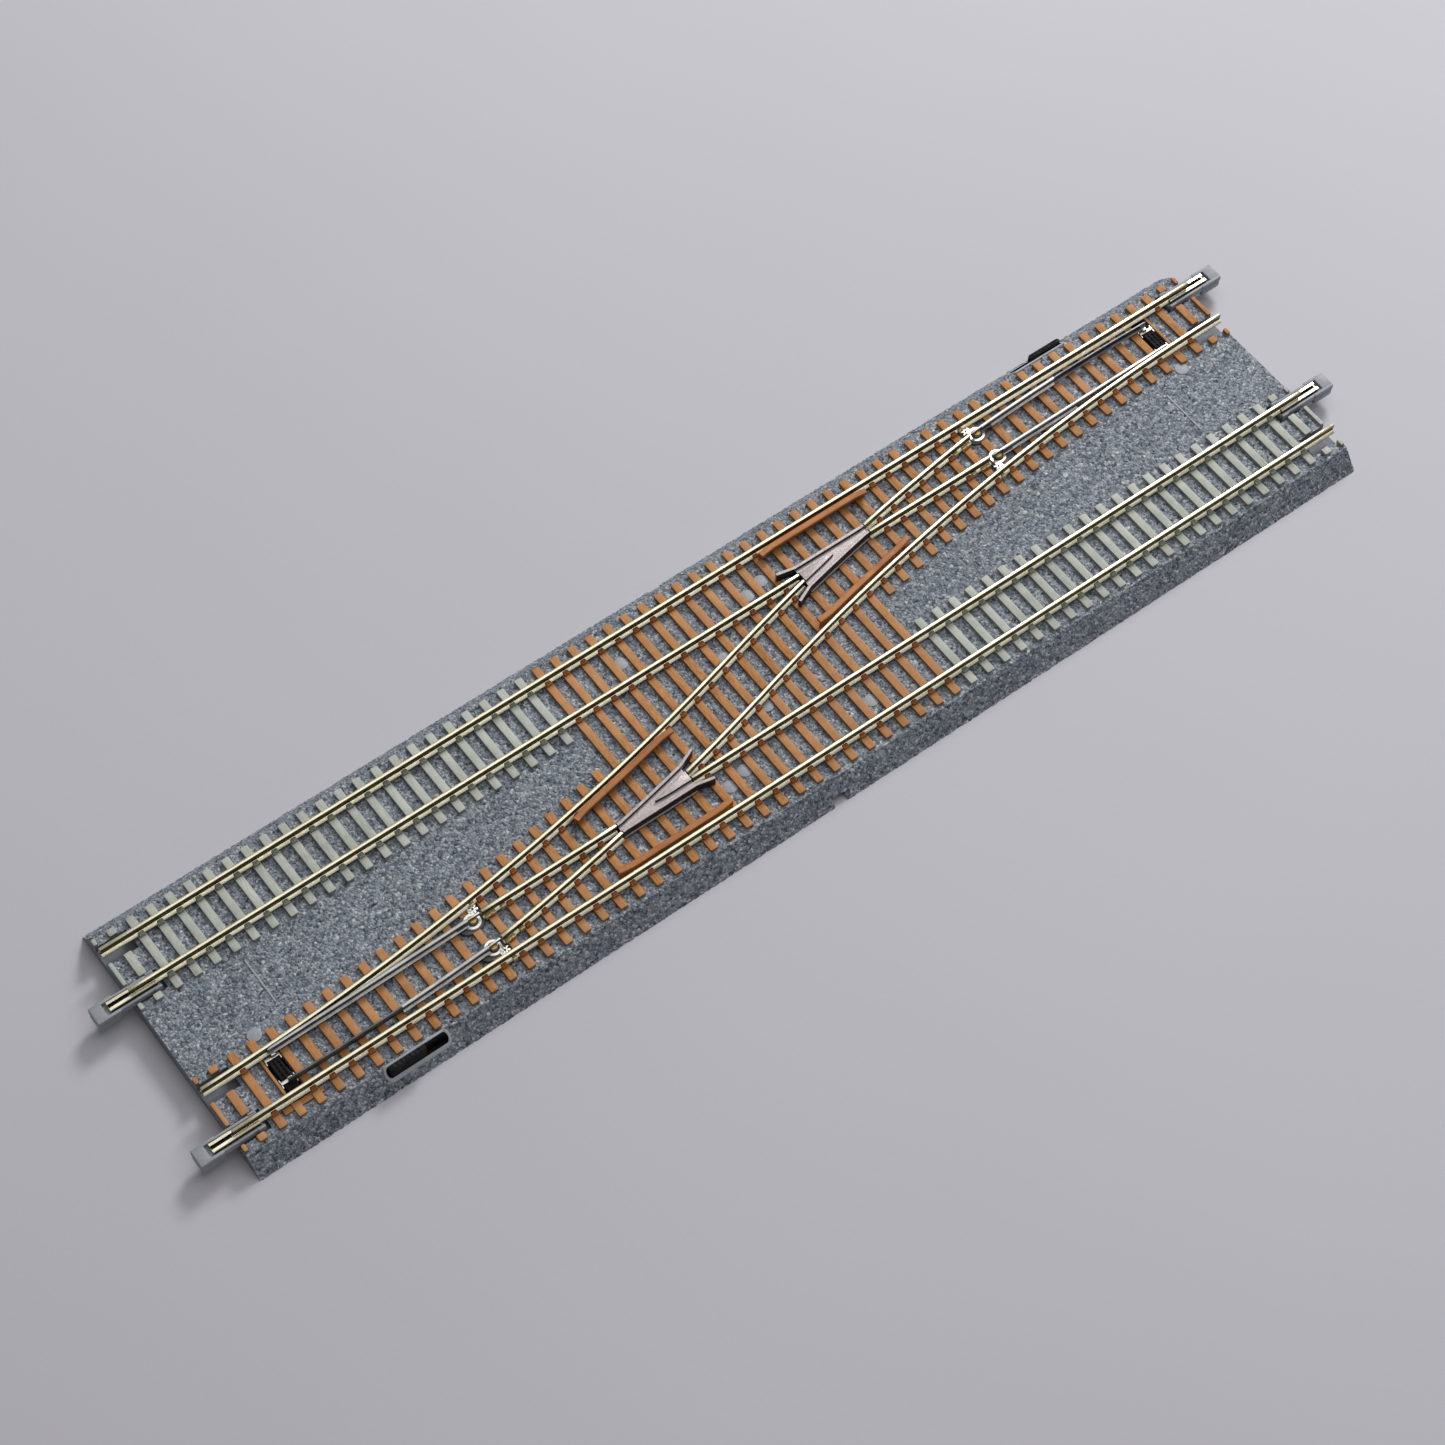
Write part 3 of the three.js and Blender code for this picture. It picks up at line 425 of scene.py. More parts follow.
def ballast_material():
    """Granite chips cast in blue-grey plastic: every grain has its own shade."""
    n = Nodes("ballast", roughness=0.85, specular=0.3)
    grains = n.ramp(
        n.axis(n.cells(0.52), "X"),
        [
            (0.0, (34, 41, 54)), (0.13, (80, 89, 103)), (0.34, (120, 128, 138)), (0.6, (144, 151, 159)),
            (0.85, (164, 170, 175)), (0.95, (196, 200, 202)), (1.0, (224, 226, 225)),
        ],
    )
    fine = n.ramp(
        n.axis(n.cells(0.3), "Y"),
        [(0.0, (50, 58, 70)), (0.4, (124, 132, 141)), (0.8, (156, 163, 169)), (1.0, (212, 215, 215))],
    )
    both = n.mix(0.38, grains, fine)
    # Painted shade: the colour darkens near the edge of each grain, in the crevices between grains.
    edges = n.span(n.cells(0.52, "Distance", "DISTANCE_TO_EDGE"), 0.0, 0.1, 0.6, 1.0)
    joined = n.mix(1.0, both, edges, "MULTIPLY")
    wide = n.span(n.noise(9, 4), 0.3, 0.7, 0.9, 1.08)
    n.color(n.mix(1.0, joined, wide, "MULTIPLY"))
    n.roughness(n.span(n.axis(n.cells(0.52), "Z"), 0, 1, 0.62, 0.95))
    n.bump((n.cells(0.52, "Distance"), -0.2), (n.noise(0.2, 3), 0.07))
    return n.material


def moulded_material(name, base, dark, roughness=0.55, grain=0.02, mottling=6.0):
    """Moulded plastic: slight mottling, fine texture and dirt in fine specks."""
    n = Nodes(name, roughness=roughness, specular=0.4)
    cloudy = n.ramp(n.noise(mottling, 5), [(0.3, dark), (0.7, base)])
    specks = n.span(n.noise(0.35, 2), 0.35, 0.65, 0.88, 1.06)
    n.color(n.mix(1.0, cloudy, specks, "MULTIPLY"))
    n.roughness(n.span(n.noise(1.4, 4), 0.3, 0.7, roughness - 0.1, min(1.0, roughness + 0.15)))
    n.bump((n.noise(0.16, 3), grain), (n.noise(2.5, 2), grain))
    return n.material


def sleeper_material(name, base, light, dark):
    """Sleepers: grain along Y, and painted shade that makes their sides darker than their tops."""
    n = Nodes(name, roughness=0.68, specular=0.35)
    grain = n.noise(0.16, 4, n.stretched(1.0, 0.12, 1.0), 0.6)
    streaks = n.ramp(grain, [(0.28, dark), (0.5, base), (0.75, light)])
    blotches = n.span(n.noise(4.5, 4), 0.3, 0.7, 0.86, 1.1)
    faded = n.mix(n.span(n.noise(28, 2), 0.42, 0.62, 0.0, 0.7), streaks, light)
    toned = n.mix(1.0, faded, blotches, "MULTIPLY")
    # Painted shade: faces turned away from straight up are darkened, the upright sides to about two thirds.
    up = n.span(n.axis(n.normal(), "Z"), 0.35, 0.95, 0.66, 1.0)
    n.color(n.mix(1.0, toned, up, "MULTIPLY"))
    n.roughness(n.span(n.noise(0.6, 3), 0.3, 0.7, 0.55, 0.8))
    n.bump((grain, 0.035), (n.noise(0.5, 3), 0.03))
    return n.material


def metal_material(name, base, dark, roughness, along=(0.06, 1, 1), sides=None, metallic=1.0):
    """Drawn metal: fine lines along X, faint tarnish, and, where a sides colour is given, painted shade in
    that colour on its upright faces.
    """
    n = Nodes(name, roughness=roughness, metallic=metallic)
    lines = n.noise(0.12, 3, n.stretched(*along))
    tarnish = n.ramp(n.noise(3.5, 5), [(0.3, dark), (0.62, base)])
    drawn = n.mix(n.span(lines, 0.3, 0.7, 0.0, 0.35), tarnish, dark)
    # Painted shade: the sides colour is laid on faces that turn away from straight up.
    if sides:
        drawn = n.mix(n.span(n.axis(n.normal(), "Z"), 0.1, 0.7, 0.0, 1.0), sides, drawn)
    n.color(drawn)
    n.roughness(n.span(n.noise(0.9, 4), 0.3, 0.7, max(0.05, roughness - 0.06), roughness + 0.12))
    n.bump((lines, 0.012), (n.noise(1.8, 2), 0.01))
    return n.material


def frog_material():
    """Cast frog: a pale pinkish top rubbed bright by wheels, and dark sides that are partly blackened metal
    and partly painted shade.
    """
    n = Nodes("frog_casting", roughness=0.5, metallic=0.3)
    cast = n.ramp(n.noise(0.5, 4), [(0.3, (150, 139, 139)), (0.7, (186, 175, 173))])
    scratches = n.span(n.noise(0.14, 3, n.stretched(0.1, 1, 1)), 0.35, 0.7, 0.0, 0.5)
    rubbed = n.mix(scratches, cast, (204, 195, 192))
    # The near-black colour on upright faces is partly blackening of the casting and partly painted shade.
    up = n.span(n.axis(n.normal(), "Z"), 0.5, 0.92, 0.0, 1.0)
    n.color(n.mix(up, (46, 40, 40), rubbed))
    n.roughness(n.span(n.noise(0.3, 3), 0.3, 0.7, 0.34, 0.6))
    n.bump((n.noise(0.22, 3), 0.03))
    return n.material


def board_material():
    """Circuit board: green mask over copper tracks."""
    n = Nodes("board", roughness=0.4, specular=0.5)
    tracks = n.ramp(
        n.cells(2.6, "Distance", "DISTANCE_TO_EDGE", n.stretched(1, 1, 0.01)),
        [(0.0, (176, 128, 62)), (0.1, (44, 92, 58))],
        constant=True,
    )
    n.color(n.mix(n.span(n.noise(1.2, 3), 0.3, 0.7, 0.0, 0.3), tracks, (28, 62, 42)))
    n.bump((n.noise(0.6, 3), 0.03))
    return n.material


def winding_material():
    """Copper wire wound across X, under clear varnish."""
    n = Nodes("winding", roughness=0.3, metallic=1.0)
    wave = n.tree.nodes.new("ShaderNodeTexWave")
    wave.wave_type = "BANDS"
    wave.bands_direction = "X"
    wave.inputs["Scale"].default_value = 1 / (0.9 * MM)
    wave.inputs["Distortion"].default_value = 0.6
    n.link(n.coords, wave.inputs["Vector"])
    # The dark part of each band is painted shade in the groove between turns of wire.
    n.color(n.ramp(wave.outputs["Fac"], [(0.2, (84, 38, 18)), (0.8, (196, 112, 62))]))
    n.bump((wave.outputs["Fac"], 0.06))
    return n.material


def floor_material():
    """Pale studio paper with a very faint tooth."""
    n = Nodes("studio_floor", roughness=0.92, specular=0.1)
    n.color(n.ramp(n.noise(260, 3), [(0.3, (192, 190, 196)), (0.7, (197, 195, 201))]))
    n.bump((n.noise(1.2, 2), 0.02))
    return n.material


BALLAST = ballast_material()
BED_PLASTIC = moulded_material("bed_plastic", (128, 133, 141), (112, 117, 125), 0.62)
RIM_PLASTIC = moulded_material("rim_plastic", (186, 190, 195), (168, 172, 178), 0.45, 0.01)
MARK_PLASTIC = moulded_material("mark_plastic", (166, 170, 176), (150, 155, 162), 0.5, 0.01)
WOOD = sleeper_material("wood_brown", (182, 124, 66), (194, 142, 96), (150, 94, 46))
CHAIR = moulded_material("chair_brown", (180, 108, 48), (136, 74, 28), 0.6)
GUARD = moulded_material("guard_brown", (190, 122, 62), (158, 94, 42), 0.5, 0.015)
CONCRETE = sleeper_material("concrete_grey", (178, 182, 171), (192, 195, 184), (154, 159, 148))
CONCRETE_CHAIR = moulded_material("chair_grey", (154, 158, 138), (126, 130, 112), 0.65)
# NICKEL and STEEL get a sides colour: painted shade on the upright faces of rails and blades.
NICKEL = metal_material("nickel", (248, 241, 214), (232, 222, 186), 0.3, sides=(92, 84, 54), metallic=0.75)
STEEL = metal_material("steel", (206, 206, 203), (170, 170, 168), 0.36, sides=(92, 92, 90), metallic=0.5)
FROG = frog_material()
PLATED = metal_material("plated_sheet", (244, 242, 234), (220, 217, 206), 0.3, (1, 1, 1), None, 0.75)
PALE_BRASS = metal_material("pale_brass", (222, 208, 156), (196, 176, 112), 0.4, (1, 1, 1), None, 0.4)
LEVER_BLACK = moulded_material("lever_black", (12, 12, 14), (7, 7, 9), 0.8, 0.012)
BRASS = metal_material("brass", (214, 184, 104), (180, 146, 70), 0.4, (1, 1, 1), None, 0.7)
IRON = metal_material("iron", (118, 120, 124), (84, 86, 90), 0.42)
COPPER = winding_material()
SEAT = moulded_material("seat_plastic", (104, 105, 106), (80, 81, 83), 0.5, 0.012)
BLACK = moulded_material("black_plastic", (30, 31, 34), (18, 19, 21), 0.42, 0.012)
GREY = moulded_material("grey_plastic", (160, 164, 169), (142, 146, 151), 0.5, 0.012)
BOARD = board_material()
INSULATOR = moulded_material("insulator", (22, 22, 24), (14, 14, 15), 0.6)


# ---- Camera, light and floor ----


def add_camera():
    data = bpy.data.cameras.new("camera")
    data.sensor_width = 36.0
    data.lens = 86.08
    data.clip_end = 20.0
    camera = new_object("camera", data)
    location = Vector((-0.206847, -0.264573, 0.538153))
    right = Vector((0.80220, -0.59701, 0.00693))
    up = Vector((0.50620, 0.68625, 0.52232))
    back = Vector((-0.31658, -0.41550, 0.85272))
    basis = Matrix((right, up, back)).transposed().to_4x4()
    camera.matrix_world = Matrix.Translation(location) @ basis
    bpy.context.scene.camera = camera


def add_light(name, location, target, size, energy):
    data = bpy.data.lights.new(name, "AREA")
    data.shape = "RECTANGLE"
    data.size, data.size_y = size
    data.energy = energy
    light = new_object(name, data)
    light.location = location
    direction = Vector(target) - Vector(location)
    light.rotation_euler = direction.to_track_quat("-Z", "Y").to_euler()


def add_studio():
    world = bpy.data.worlds.new("studio")
    bpy.context.scene.world = world
    world.use_nodes = True
    background = world.node_tree.nodes["Background"]
    background.inputs["Color"].default_value = (0.93, 0.94, 1.0, 1)
    background.inputs["Strength"].default_value = 0.18
    add_light("key_softbox", (0.62, 0.42, 0.62), (0, 0, 0), (0.28, 0.28), 5.8)
    add_light("top_softbox", (0.39, 0.0, 1.05), (0.39, 0.0, 0), (1.3, 1.3), 6.4)
    view = bpy.context.scene.view_settings
    view.view_transform = "Standard"
    view.look = "None"


def add_floor():
    size = 4.0
    mesh = bpy.data.meshes.new("floor")
    points = [(-size, -size, 0), (size, -size, 0), (size, size, 0), (-size, size, 0)]
    mesh.from_pydata(points, [], [(0, 1, 2, 3)])
    mesh.materials.append(floor_material())
    floor = new_object("floor", mesh)


add_camera()
add_studio()
add_floor()


# ---- Roadbed ----

GRAIN_STEP = 0.42  # between points of the ballast surface
GRAIN_DEPTH = 0.2  # the grains only go below the CAD surface


def ballast_slab():
    """Closed slab whose top and shoulders are rough, to be cut out with the CAD roadbed."""
    rng = np.random.default_rng(7)
    slope = math.hypot(BASE_EDGE - TOP_EDGE, ROADBED_TOP)
    side_steps = round(slope / GRAIN_STEP)
    top_steps = round(2 * TOP_EDGE / GRAIN_STEP)
    section = []
    for i in range(side_steps):
        t = i / side_steps
        section.append((-BASE_EDGE + t * (BASE_EDGE - TOP_EDGE), t * ROADBED_TOP, 1))
    for i in range(top_steps + 1):
        section.append((-TOP_EDGE + 2 * TOP_EDGE * i / top_steps, ROADBED_TOP, 0))
    for i in range(side_steps - 1, -1, -1):
        t = i / side_steps
        section.append((BASE_EDGE - t * (BASE_EDGE - TOP_EDGE), t * ROADBED_TOP, -1))
    section = np.array(section)
    across = len(section)
    along = round((LENGTH + 2) / GRAIN_STEP)
    x = np.linspace(-LENGTH / 2 - 1, LENGTH / 2 + 1, along + 1)
    y = np.broadcast_to(section[:, 0], (along + 1, across)).copy()
    z = np.broadcast_to(section[:, 1], (along + 1, across)).copy()
    side = section[:, 2]
    depth = rng.random((along + 1, across)) ** 1.4 * GRAIN_DEPTH + 0.015
    # Normal of the shoulder, pointing out of it.
    ny, nz = ROADBED_TOP / slope, (BASE_EDGE - TOP_EDGE) / slope
    y += depth * side * ny
    z -= depth * np.where(side == 0, 1.0, nz)
    jitter = rng.uniform(-0.13, 0.13, (2, along + 1, across))
    gx = np.broadcast_to(x[:, None], (along + 1, across)) + jitter[0]
    y += jitter[1] * (side == 0)
    points = np.stack([gx, y, z], axis=2).reshape(-1, 3)
    low = []
    for i in range(along + 1):
        low.append((x[i], BASE_EDGE - 0.3, -1.0))
        low.append((x[i], -BASE_EDGE + 0.3, -1.0))
    total = (along + 1) * across
    faces = []
    for i in range(along):
        a, b = i * across, (i + 1) * across
        for j in range(across - 1):
            faces.append((a + j, a + j + 1, b + j + 1, b + j))
        la, lb = total + 2 * i, total + 2 * (i + 1)
        faces.append((a + across - 1, la, lb, b + across - 1))
        faces.append((la, la + 1, lb + 1, lb))
        faces.append((la + 1, a, b, lb + 1))
    first = list(range(across)) + [total, total + 1]
    last = [along * across + j for j in range(across)] + [total + 2 * along, total + 2 * along + 1]
    faces.append(tuple(reversed(first)))
    faces.append(tuple(last))
    shape = Shape()
    shape.add(points.tolist() + low, faces)
    return shape


def bare_object(name, shape, materials):
    """A triangulated object that isn't tied to the frame, for a boolean."""
    return new_object(name, new_mesh(name, shape.points, shape, materials, triangulate=True))


def cad_copy(node, materials):
    """A closed copy of a CAD node's mesh, with its split corners joined again."""
    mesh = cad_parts[node].data.copy()
    mesh.materials.clear()
    for material in materials:
        mesh.materials.append(material)
    work = bmesh.new()
    work.from_mesh(mesh)
    bmesh.ops.remove_doubles(work, verts=work.verts, dist=2e-7)
    for face in work.faces:
        face.material_index = len(materials) - 1
    work.to_mesh(mesh)
    work.free()
    return new_object(node + "_copy", mesh)


def combine(target, tool, operation):
    """Applies a boolean and removes the tool."""
    modifier = target.modifiers.new("combine", "BOOLEAN")
    modifier.operation = operation
    modifier.solver = "MANIFOLD"
    modifier.object = tool
    bpy.context.view_layer.update()
    evaluated = target.evaluated_get(bpy.context.evaluated_depsgraph_get())
    result = bpy.data.meshes.new_from_object(evaluated)
    target.modifiers.clear()
    target.data = result
    bpy.data.objects.remove(tool)


def make_roadbed():
    slab = bare_object("ballast_bed", ballast_slab(), [BALLAST, BED_PLASTIC])
    combine(slab, cad_copy("roadbed", [BALLAST, BED_PLASTIC]), "INTERSECT")
    finish_mesh(slab.data, 0)
    attach(slab, "track_base", ["roadbed"])


def slope_z(y):
    """Height of the roadbed's surface at a distance from the middle."""
    return min(ROADBED_TOP, ROADBED_TOP * (BASE_EDGE - abs(y)) / (BASE_EDGE - TOP_EDGE))


# Places of the smooth round marks, in end coordinates
EJECTOR_MARKS = ((13.2, 9.3), (140.0, -0.2), (124.0, 10.2), (108.5, 0.4), (112.5, 1.6))
# Section of the raised rim around a lever slot: (distance from the slot's spine, height over the shoulder)
RIM_SECTION = ((0.71, -0.5), (0.71, 0.08), (0.76, 0.14), (1.08, 0.14), (1.18, 0.04), (1.18, -0.5))
SLOT_SHADE_BOTTOM = 1.2
SEAM_HALF = 0.14
SEAM_CREST = 0.08


def slot_outline(radius):
    """Outline at a distance from the spine of the lever slot."""
    half = SLOT_LENGTH / 2 - SLOT_WIDTH / 2
    return stadium(SLOT_CENTRE - half, SLOT_CENTRE + half, SLOT_Y, radius)


def on_shoulder(outline, rise):
    return [(x, y, slope_z(y - SPACING / 2) + rise) for x, y in outline]


def make_lever_slot(end):
    """Rim of the lever slot, and a black lining of its walls and floor, which is painted shade inside the
    slot.
    """
    rim = Shape()
    add_ring(rim, [on_shoulder(slot_outline(radius), rise) for radius, rise in RIM_SECTION])
    make("lever_rim_" + end, rim, [RIM_PLASTIC], "track_base", end=end)

    # Painted shade: the slot's walls and floor are covered in black.
    slot_shade = Shape()
    outside, inside = slot_outline(SLOT_WIDTH / 2), slot_outline(0.6)
    loops = [
        on_shoulder(outside, 0.14),
        [(x, y, SLOT_SHADE_BOTTOM) for x, y in outside],
        [(x, y, SLOT_SHADE_BOTTOM) for x, y in inside],
        on_shoulder(inside, 0.14),
    ]
    add_ring(slot_shade, loops)
    rounded_plate(slot_shade, outside, 0.92, 1.06, 0.03)
    make("lever_slot_shade_" + end, slot_shade, [LEVER_BLACK], "track_base", end=end)


def make_bed_details():
    """Smooth marks and seams of the mould in the ballast, and the trim of the lever slots."""
    for end in ENDS:
        marks = Shape()
        for x, y in EJECTOR_MARKS:
            rounded_plate(marks, circle(x, y, 1.35), ROADBED_TOP - 0.4, ROADBED_TOP + 0.07, 0.08)
        make("ejector_marks_" + end, marks, [MARK_PLASTIC], "track_base", end=end)
        make_lever_slot(end)

        seam = Shape()
        outline = rectangle(19.5, 19.85, 12.5, 22.5, 0.05)
        rounded_plate(seam, outline, ROADBED_TOP - 0.4, ROADBED_TOP + 0.06, 0.04)
        make("ballast_seam_" + end, seam, [MARK_PLASTIC], "track_base", end=end)

        seams = Shape()
        for x in (LENGTH / 2 - 5.2, 63.4):
            ridge = []
            for k in range(9):
                y = -12.2 + (12.2 - 9.2) * k / 8
                z = slope_z(y - SPACING / 2)
                corners = ((-SEAM_HALF, -0.3), (SEAM_HALF, -0.3), (SEAM_CREST, 0.03), (-SEAM_CREST, 0.03))
                ridge.append([(x + across, y, z + rise) for across, rise in corners])
            seams.loft(ridge)
        make("shoulder_seams_" + end, seams, [BED_PLASTIC], "track_base", end=end)


# ---- Sleepers ----


def cut_intervals(low, high, gaps):
    """What is left of an interval after gaps are taken out."""
    left = [(low, high)]
    for g0, g1 in gaps:
        kept = []
        for a, b in left:
            if g1 <= a or g0 >= b:
                kept.append((a, b))
                continue
            if g0 > a:
                kept.append((a, g0))
            if g1 < b:
                kept.append((g1, b))
        left = kept
    return [(a, b) for a, b in left if b - a > 0.15]


def leg_of(blade):
    """Plan position of a blade's leg at rest."""
    px, py = blade["pivot"]
    dx = LEG_X - px
    dy = blade_y(blade, LEG_X) + blade["inward"] * (FOOT_WIDTH / 2 - HEAD_WIDTH / 4) - py
    c, s = math.cos(blade["rest"]), math.sin(blade["rest"])
    return px + c * dx - s * dy, py + s * dx + c * dy


def blade_y(blade, x):
    """Centre of a closed blade."""
    share = (HEEL_X - x) / (HEEL_X - BLADE_TIP)
    return blade["line"](x) + blade["inward"] * blade["lift"] * share


STAND_OFF = HEAD_WIDTH / 2 + 0.08 + TIP_WIDTH / 2
BLADES = {
    "straight": {
        "inward": -1,
        "line": lambda x: RAIL_Y,
        "lift": RAIL_Y - (crossing_y(BLADE_TIP, RAIL_Y) - STAND_OFF),
        "rest": 0.0,
        "pivot": (HEEL_X, RAIL_Y),
        "stock": lambda x: crossing_y(x, RAIL_Y),
    },
    "curved": {
        "inward": 1,
        "line": lambda x: crossing_y(x, -RAIL_Y),
        "lift": STAND_OFF - RAIL_Y - crossing_y(BLADE_TIP, -RAIL_Y),
        "rest": -OPEN_ANGLE,
        "pivot": (HEEL_X, crossing_y(HEEL_X, -RAIL_Y)),
        "stock": lambda x: -RAIL_Y,
    },
}
BAR_Y0 = leg_of(BLADES["curved"])[1] - 1.9
BAR_Y1 = leg_of(BLADES["straight"])[1] + 0.9
SLOT_X0 = BAR_CENTRE - 1.65
SLOT_X1 = BAR_CENTRE + 1.65
SLOT_Y0 = BAR_Y0 - THROW - 0.3
SLOT_Y1 = BAR_Y1 + 0.3


def add_sleeper(shape, index, y0, y1, rails, rng, notch=False):
    """One sleeper in end coordinates, cut at the pockets and the throw bar, with worn edges."""
    x = index * PITCH
    x0 = max(x - SLEEPER_WIDTH / 2, 0.0)
    x1 = x + SLEEPER_WIDTH / 2
    gaps = []
    if x0 < POCKET_LENGTH:
        gaps = [(y - POCKET_HALF, y + POCKET_HALF) for y in rails]
    parts = [(x0, x1, a, b) for a, b in cut_intervals(y0, y1, gaps)]
    if notch and x0 < SLOT_X0 < x1:
        parts = [(x0, x1, a, b) for a, b in cut_intervals(y0, y1, [(SLOT_Y0, SLOT_Y1)])]
        parts.append((x0, SLOT_X0, SLOT_Y0 - 0.05, SLOT_Y1 + 0.05))
    for a0, a1, b0, b1 in parts:
        corner = min(0.22, (a1 - a0) / 3)
        worn = [v + rng.uniform(-0.04, 0.04) for v in (b0, b1)]
        top = SLEEPER_TOP + rng.uniform(-0.02, 0.0)
        rounded_plate(shape, rectangle(a0, a1, *worn, corner), SLEEPER_BASE - 0.25, top, 0.11)


def add_web(shape, x0, x1, y, half=0.5):
    rounded_plate(shape, rectangle(x0, x1, y - half, y + half, 0.05), SLEEPER_BASE - 0.2, WEB_TOP, 0.06)


CHAIR_MATERIAL = 1  # the second material of the sleeper pieces
CHAIR_REACH = 1.22  # from the rail's centre line
SHORT_REACH = 0.92  # where a guard rail is beside the chair


def add_chair(shape, x, y, slope, side, far):
    """Moulded clip over one side of a rail's foot, with the head of a spike."""
    angle = math.atan(slope)
    length = 0.62
    near = 0.3
    ring_heights = [
        (0.0, SLEEPER_TOP - 0.05),
        (0.0, SLEEPER_TOP + 0.32),
        (0.06, SLEEPER_TOP + 0.46),
        (0.2, SLEEPER_TOP + 0.54),
    ]
    rings = []
    for shrink, z in ring_heights:
        flat = sided(rectangle(-length + shrink, length - shrink, near, far - 1.3 * shrink, 0.08), side)
        rings.append([(*p, z) for p in turned(flat, angle, (x, y))])
    shape.loft(rings, CHAIR_MATERIAL)
    spike = turned(circle(0, side * (far - 0.3), 0.16, 8), angle, (x, y))
    rounded_plate(shape, spike, SLEEPER_TOP + 0.2, SLEEPER_TOP + 0.64, 0.08, CHAIR_MATERIAL)


def rail_lines(x):
    """Rails over a sleeper at x: (y, slope, left clip wanted, right clip wanted)."""

    def slope_of(left):
        return crossing_y(x + 0.5, left) - crossing_y(x - 0.5, left)

    blades_here = 11.0 < x < HEEL_X + 1.6
    lines = [(-RAIL_Y, 0.0, not blades_here, True)]
    lines.append((crossing_y(x, RAIL_Y), slope_of(RAIL_Y), True, not blades_here))
    if HEEL_X + 3 < x < FROG_TOE or x > FROG_HEEL + 0.4:
        lines.append((RAIL_Y, 0.0, True, True))
        lines.append((crossing_y(x, -RAIL_Y), slope_of(-RAIL_Y), True, True))
    return lines


def obstacles(x):
    """Lines that a clip must keep clear of."""
    lines = [y for y, _, _, _ in rail_lines(x)]
    if FROG_TOE - 1 < x < FROG_HEEL + 4.2:
        flare = FLARE if x > FROG_HEEL else 0
        lines += [crossing_y(x, -RAIL_Y) + WING_OFFSET + flare, RAIL_Y - WING_OFFSET - flare]
        lines += [RAIL_Y, crossing_y(x, -RAIL_Y)]
    for blade in BLADES.values():
        if HEEL_X - 2.4 < x < HEEL_X + 2.4:
            lines += [blade["pivot"][1] + d for d in (-1.2, 0.0, 1.2)]
    return lines


def guard_side(y, lines):
    """Which side of a stock rail its guard rail is on, or 0 for other rails."""
    if y == lines[0][0]:
        return 1
    return -1 if y == lines[1][0] else 0


def add_chairs(shape, index, lines, blocked):
    x = index * PITCH
    for y, slope, left, right in lines:
        for side, wanted in ((1, left), (-1, right)):
            centre = y + side * 0.8
            others = [o for o in blocked if abs(o - y) > 0.05]
            if wanted and all(abs(centre - o) > 1.15 for o in others):
                guarded = GUARD_START - 1 < x < GUARD_END + 1 and side * guard_side(y, lines) > 0
                add_chair(shape, x, y, slope, side, SHORT_REACH if guarded else CHAIR_REACH)


def make_wood_sleepers():
    """Brown sleepers with their chairs, and the guard rails moulded with them."""
    rng = np.random.default_rng(11)
    for end in ENDS:
        shape = Shape()
        for i in range(FIRST_LONG):
            far = crossing_y(i * PITCH, RAIL_Y) + OVERHANG
            add_sleeper(shape, i, -HALF_SLEEPER, max(HALF_SLEEPER, far), (-RAIL_Y, RAIL_Y), rng, True)
        for i in range(FIRST_LONG, SLEEPERS // 2 + 1):
            add_sleeper(shape, i, -HALF_SLEEPER, SPACING + HALF_SLEEPER, (), rng)
        add_web(shape, 6.4, SLOT_X0, -RAIL_Y)
        add_web(shape, SLOT_X1, (SLEEPERS // 2) * PITCH, -RAIL_Y)
        for y in (SLOT_Y0 - 0.5, SLOT_Y1 + 0.5):
            add_web(shape, BAR_CENTRE - PITCH, BAR_CENTRE + PITCH, y, 0.55)
        for i in range(2, SLEEPERS // 2 + 1):
            x = i * PITCH
            if abs(x - BAR_CENTRE) < 1.8:
                continue
            lines = rail_lines(x)
            if i >= FIRST_LONG:
                lines += [(SPACING - RAIL_Y, 0.0, True, True), (SPACING + RAIL_Y, 0.0, True, True)]
            blocked = obstacles(x) + [SPACING - RAIL_Y, SPACING + RAIL_Y]
            add_chairs(shape, i, lines, blocked)
        name = "wood_ties_" + end
        replaced = ["wood_sleepers"] if end == "west" else []
        make(name, shape, [WOOD, CHAIR], "track_base", replaced, end=end)
        make_guards(end)


def make_guards(end):
    """Guard rails opposite the frog, with ends that bend away from the stock rail."""
    shape = Shape()
    x0, x1 = GUARD_START, GUARD_END
    near = HEAD_WIDTH / 2 + 0.6
    top, under = RAIL_TOP - 0.05, RAIL_TOP - 0.65
    section = [
        (1.2, under + 0.05), (1.2, top - 0.12), (1.15, top - 0.04), (1.06, top), (0.14, top),
        (0.05, top - 0.04), (0.0, top - 0.12), (0.05, WEB_TOP - 0.1), (0.45, WEB_TOP - 0.1),
        (0.42, under), (1.12, under),
    ]
    for line, inward in ((lambda x: -RAIL_Y, 1), (lambda x: crossing_y(x, RAIL_Y), -1)):
        path = []
        for x in [x0, x0 + 1.2, *np.linspace(x0 + 3, x1 - 3, 12), x1 - 1.2, x1]:
            bent = max(0.0, 1 - min(x - x0, x1 - x) / 2.4)
            path.append((x, line(x) + inward * (near + 0.4 * bent)))
        facing = [(-inward * u, z) for u, z in section]
        sweep(shape, path, lambda i, s=facing: s)
    make("guard_rails_" + end, shape, [GUARD], "track_base", end=end)


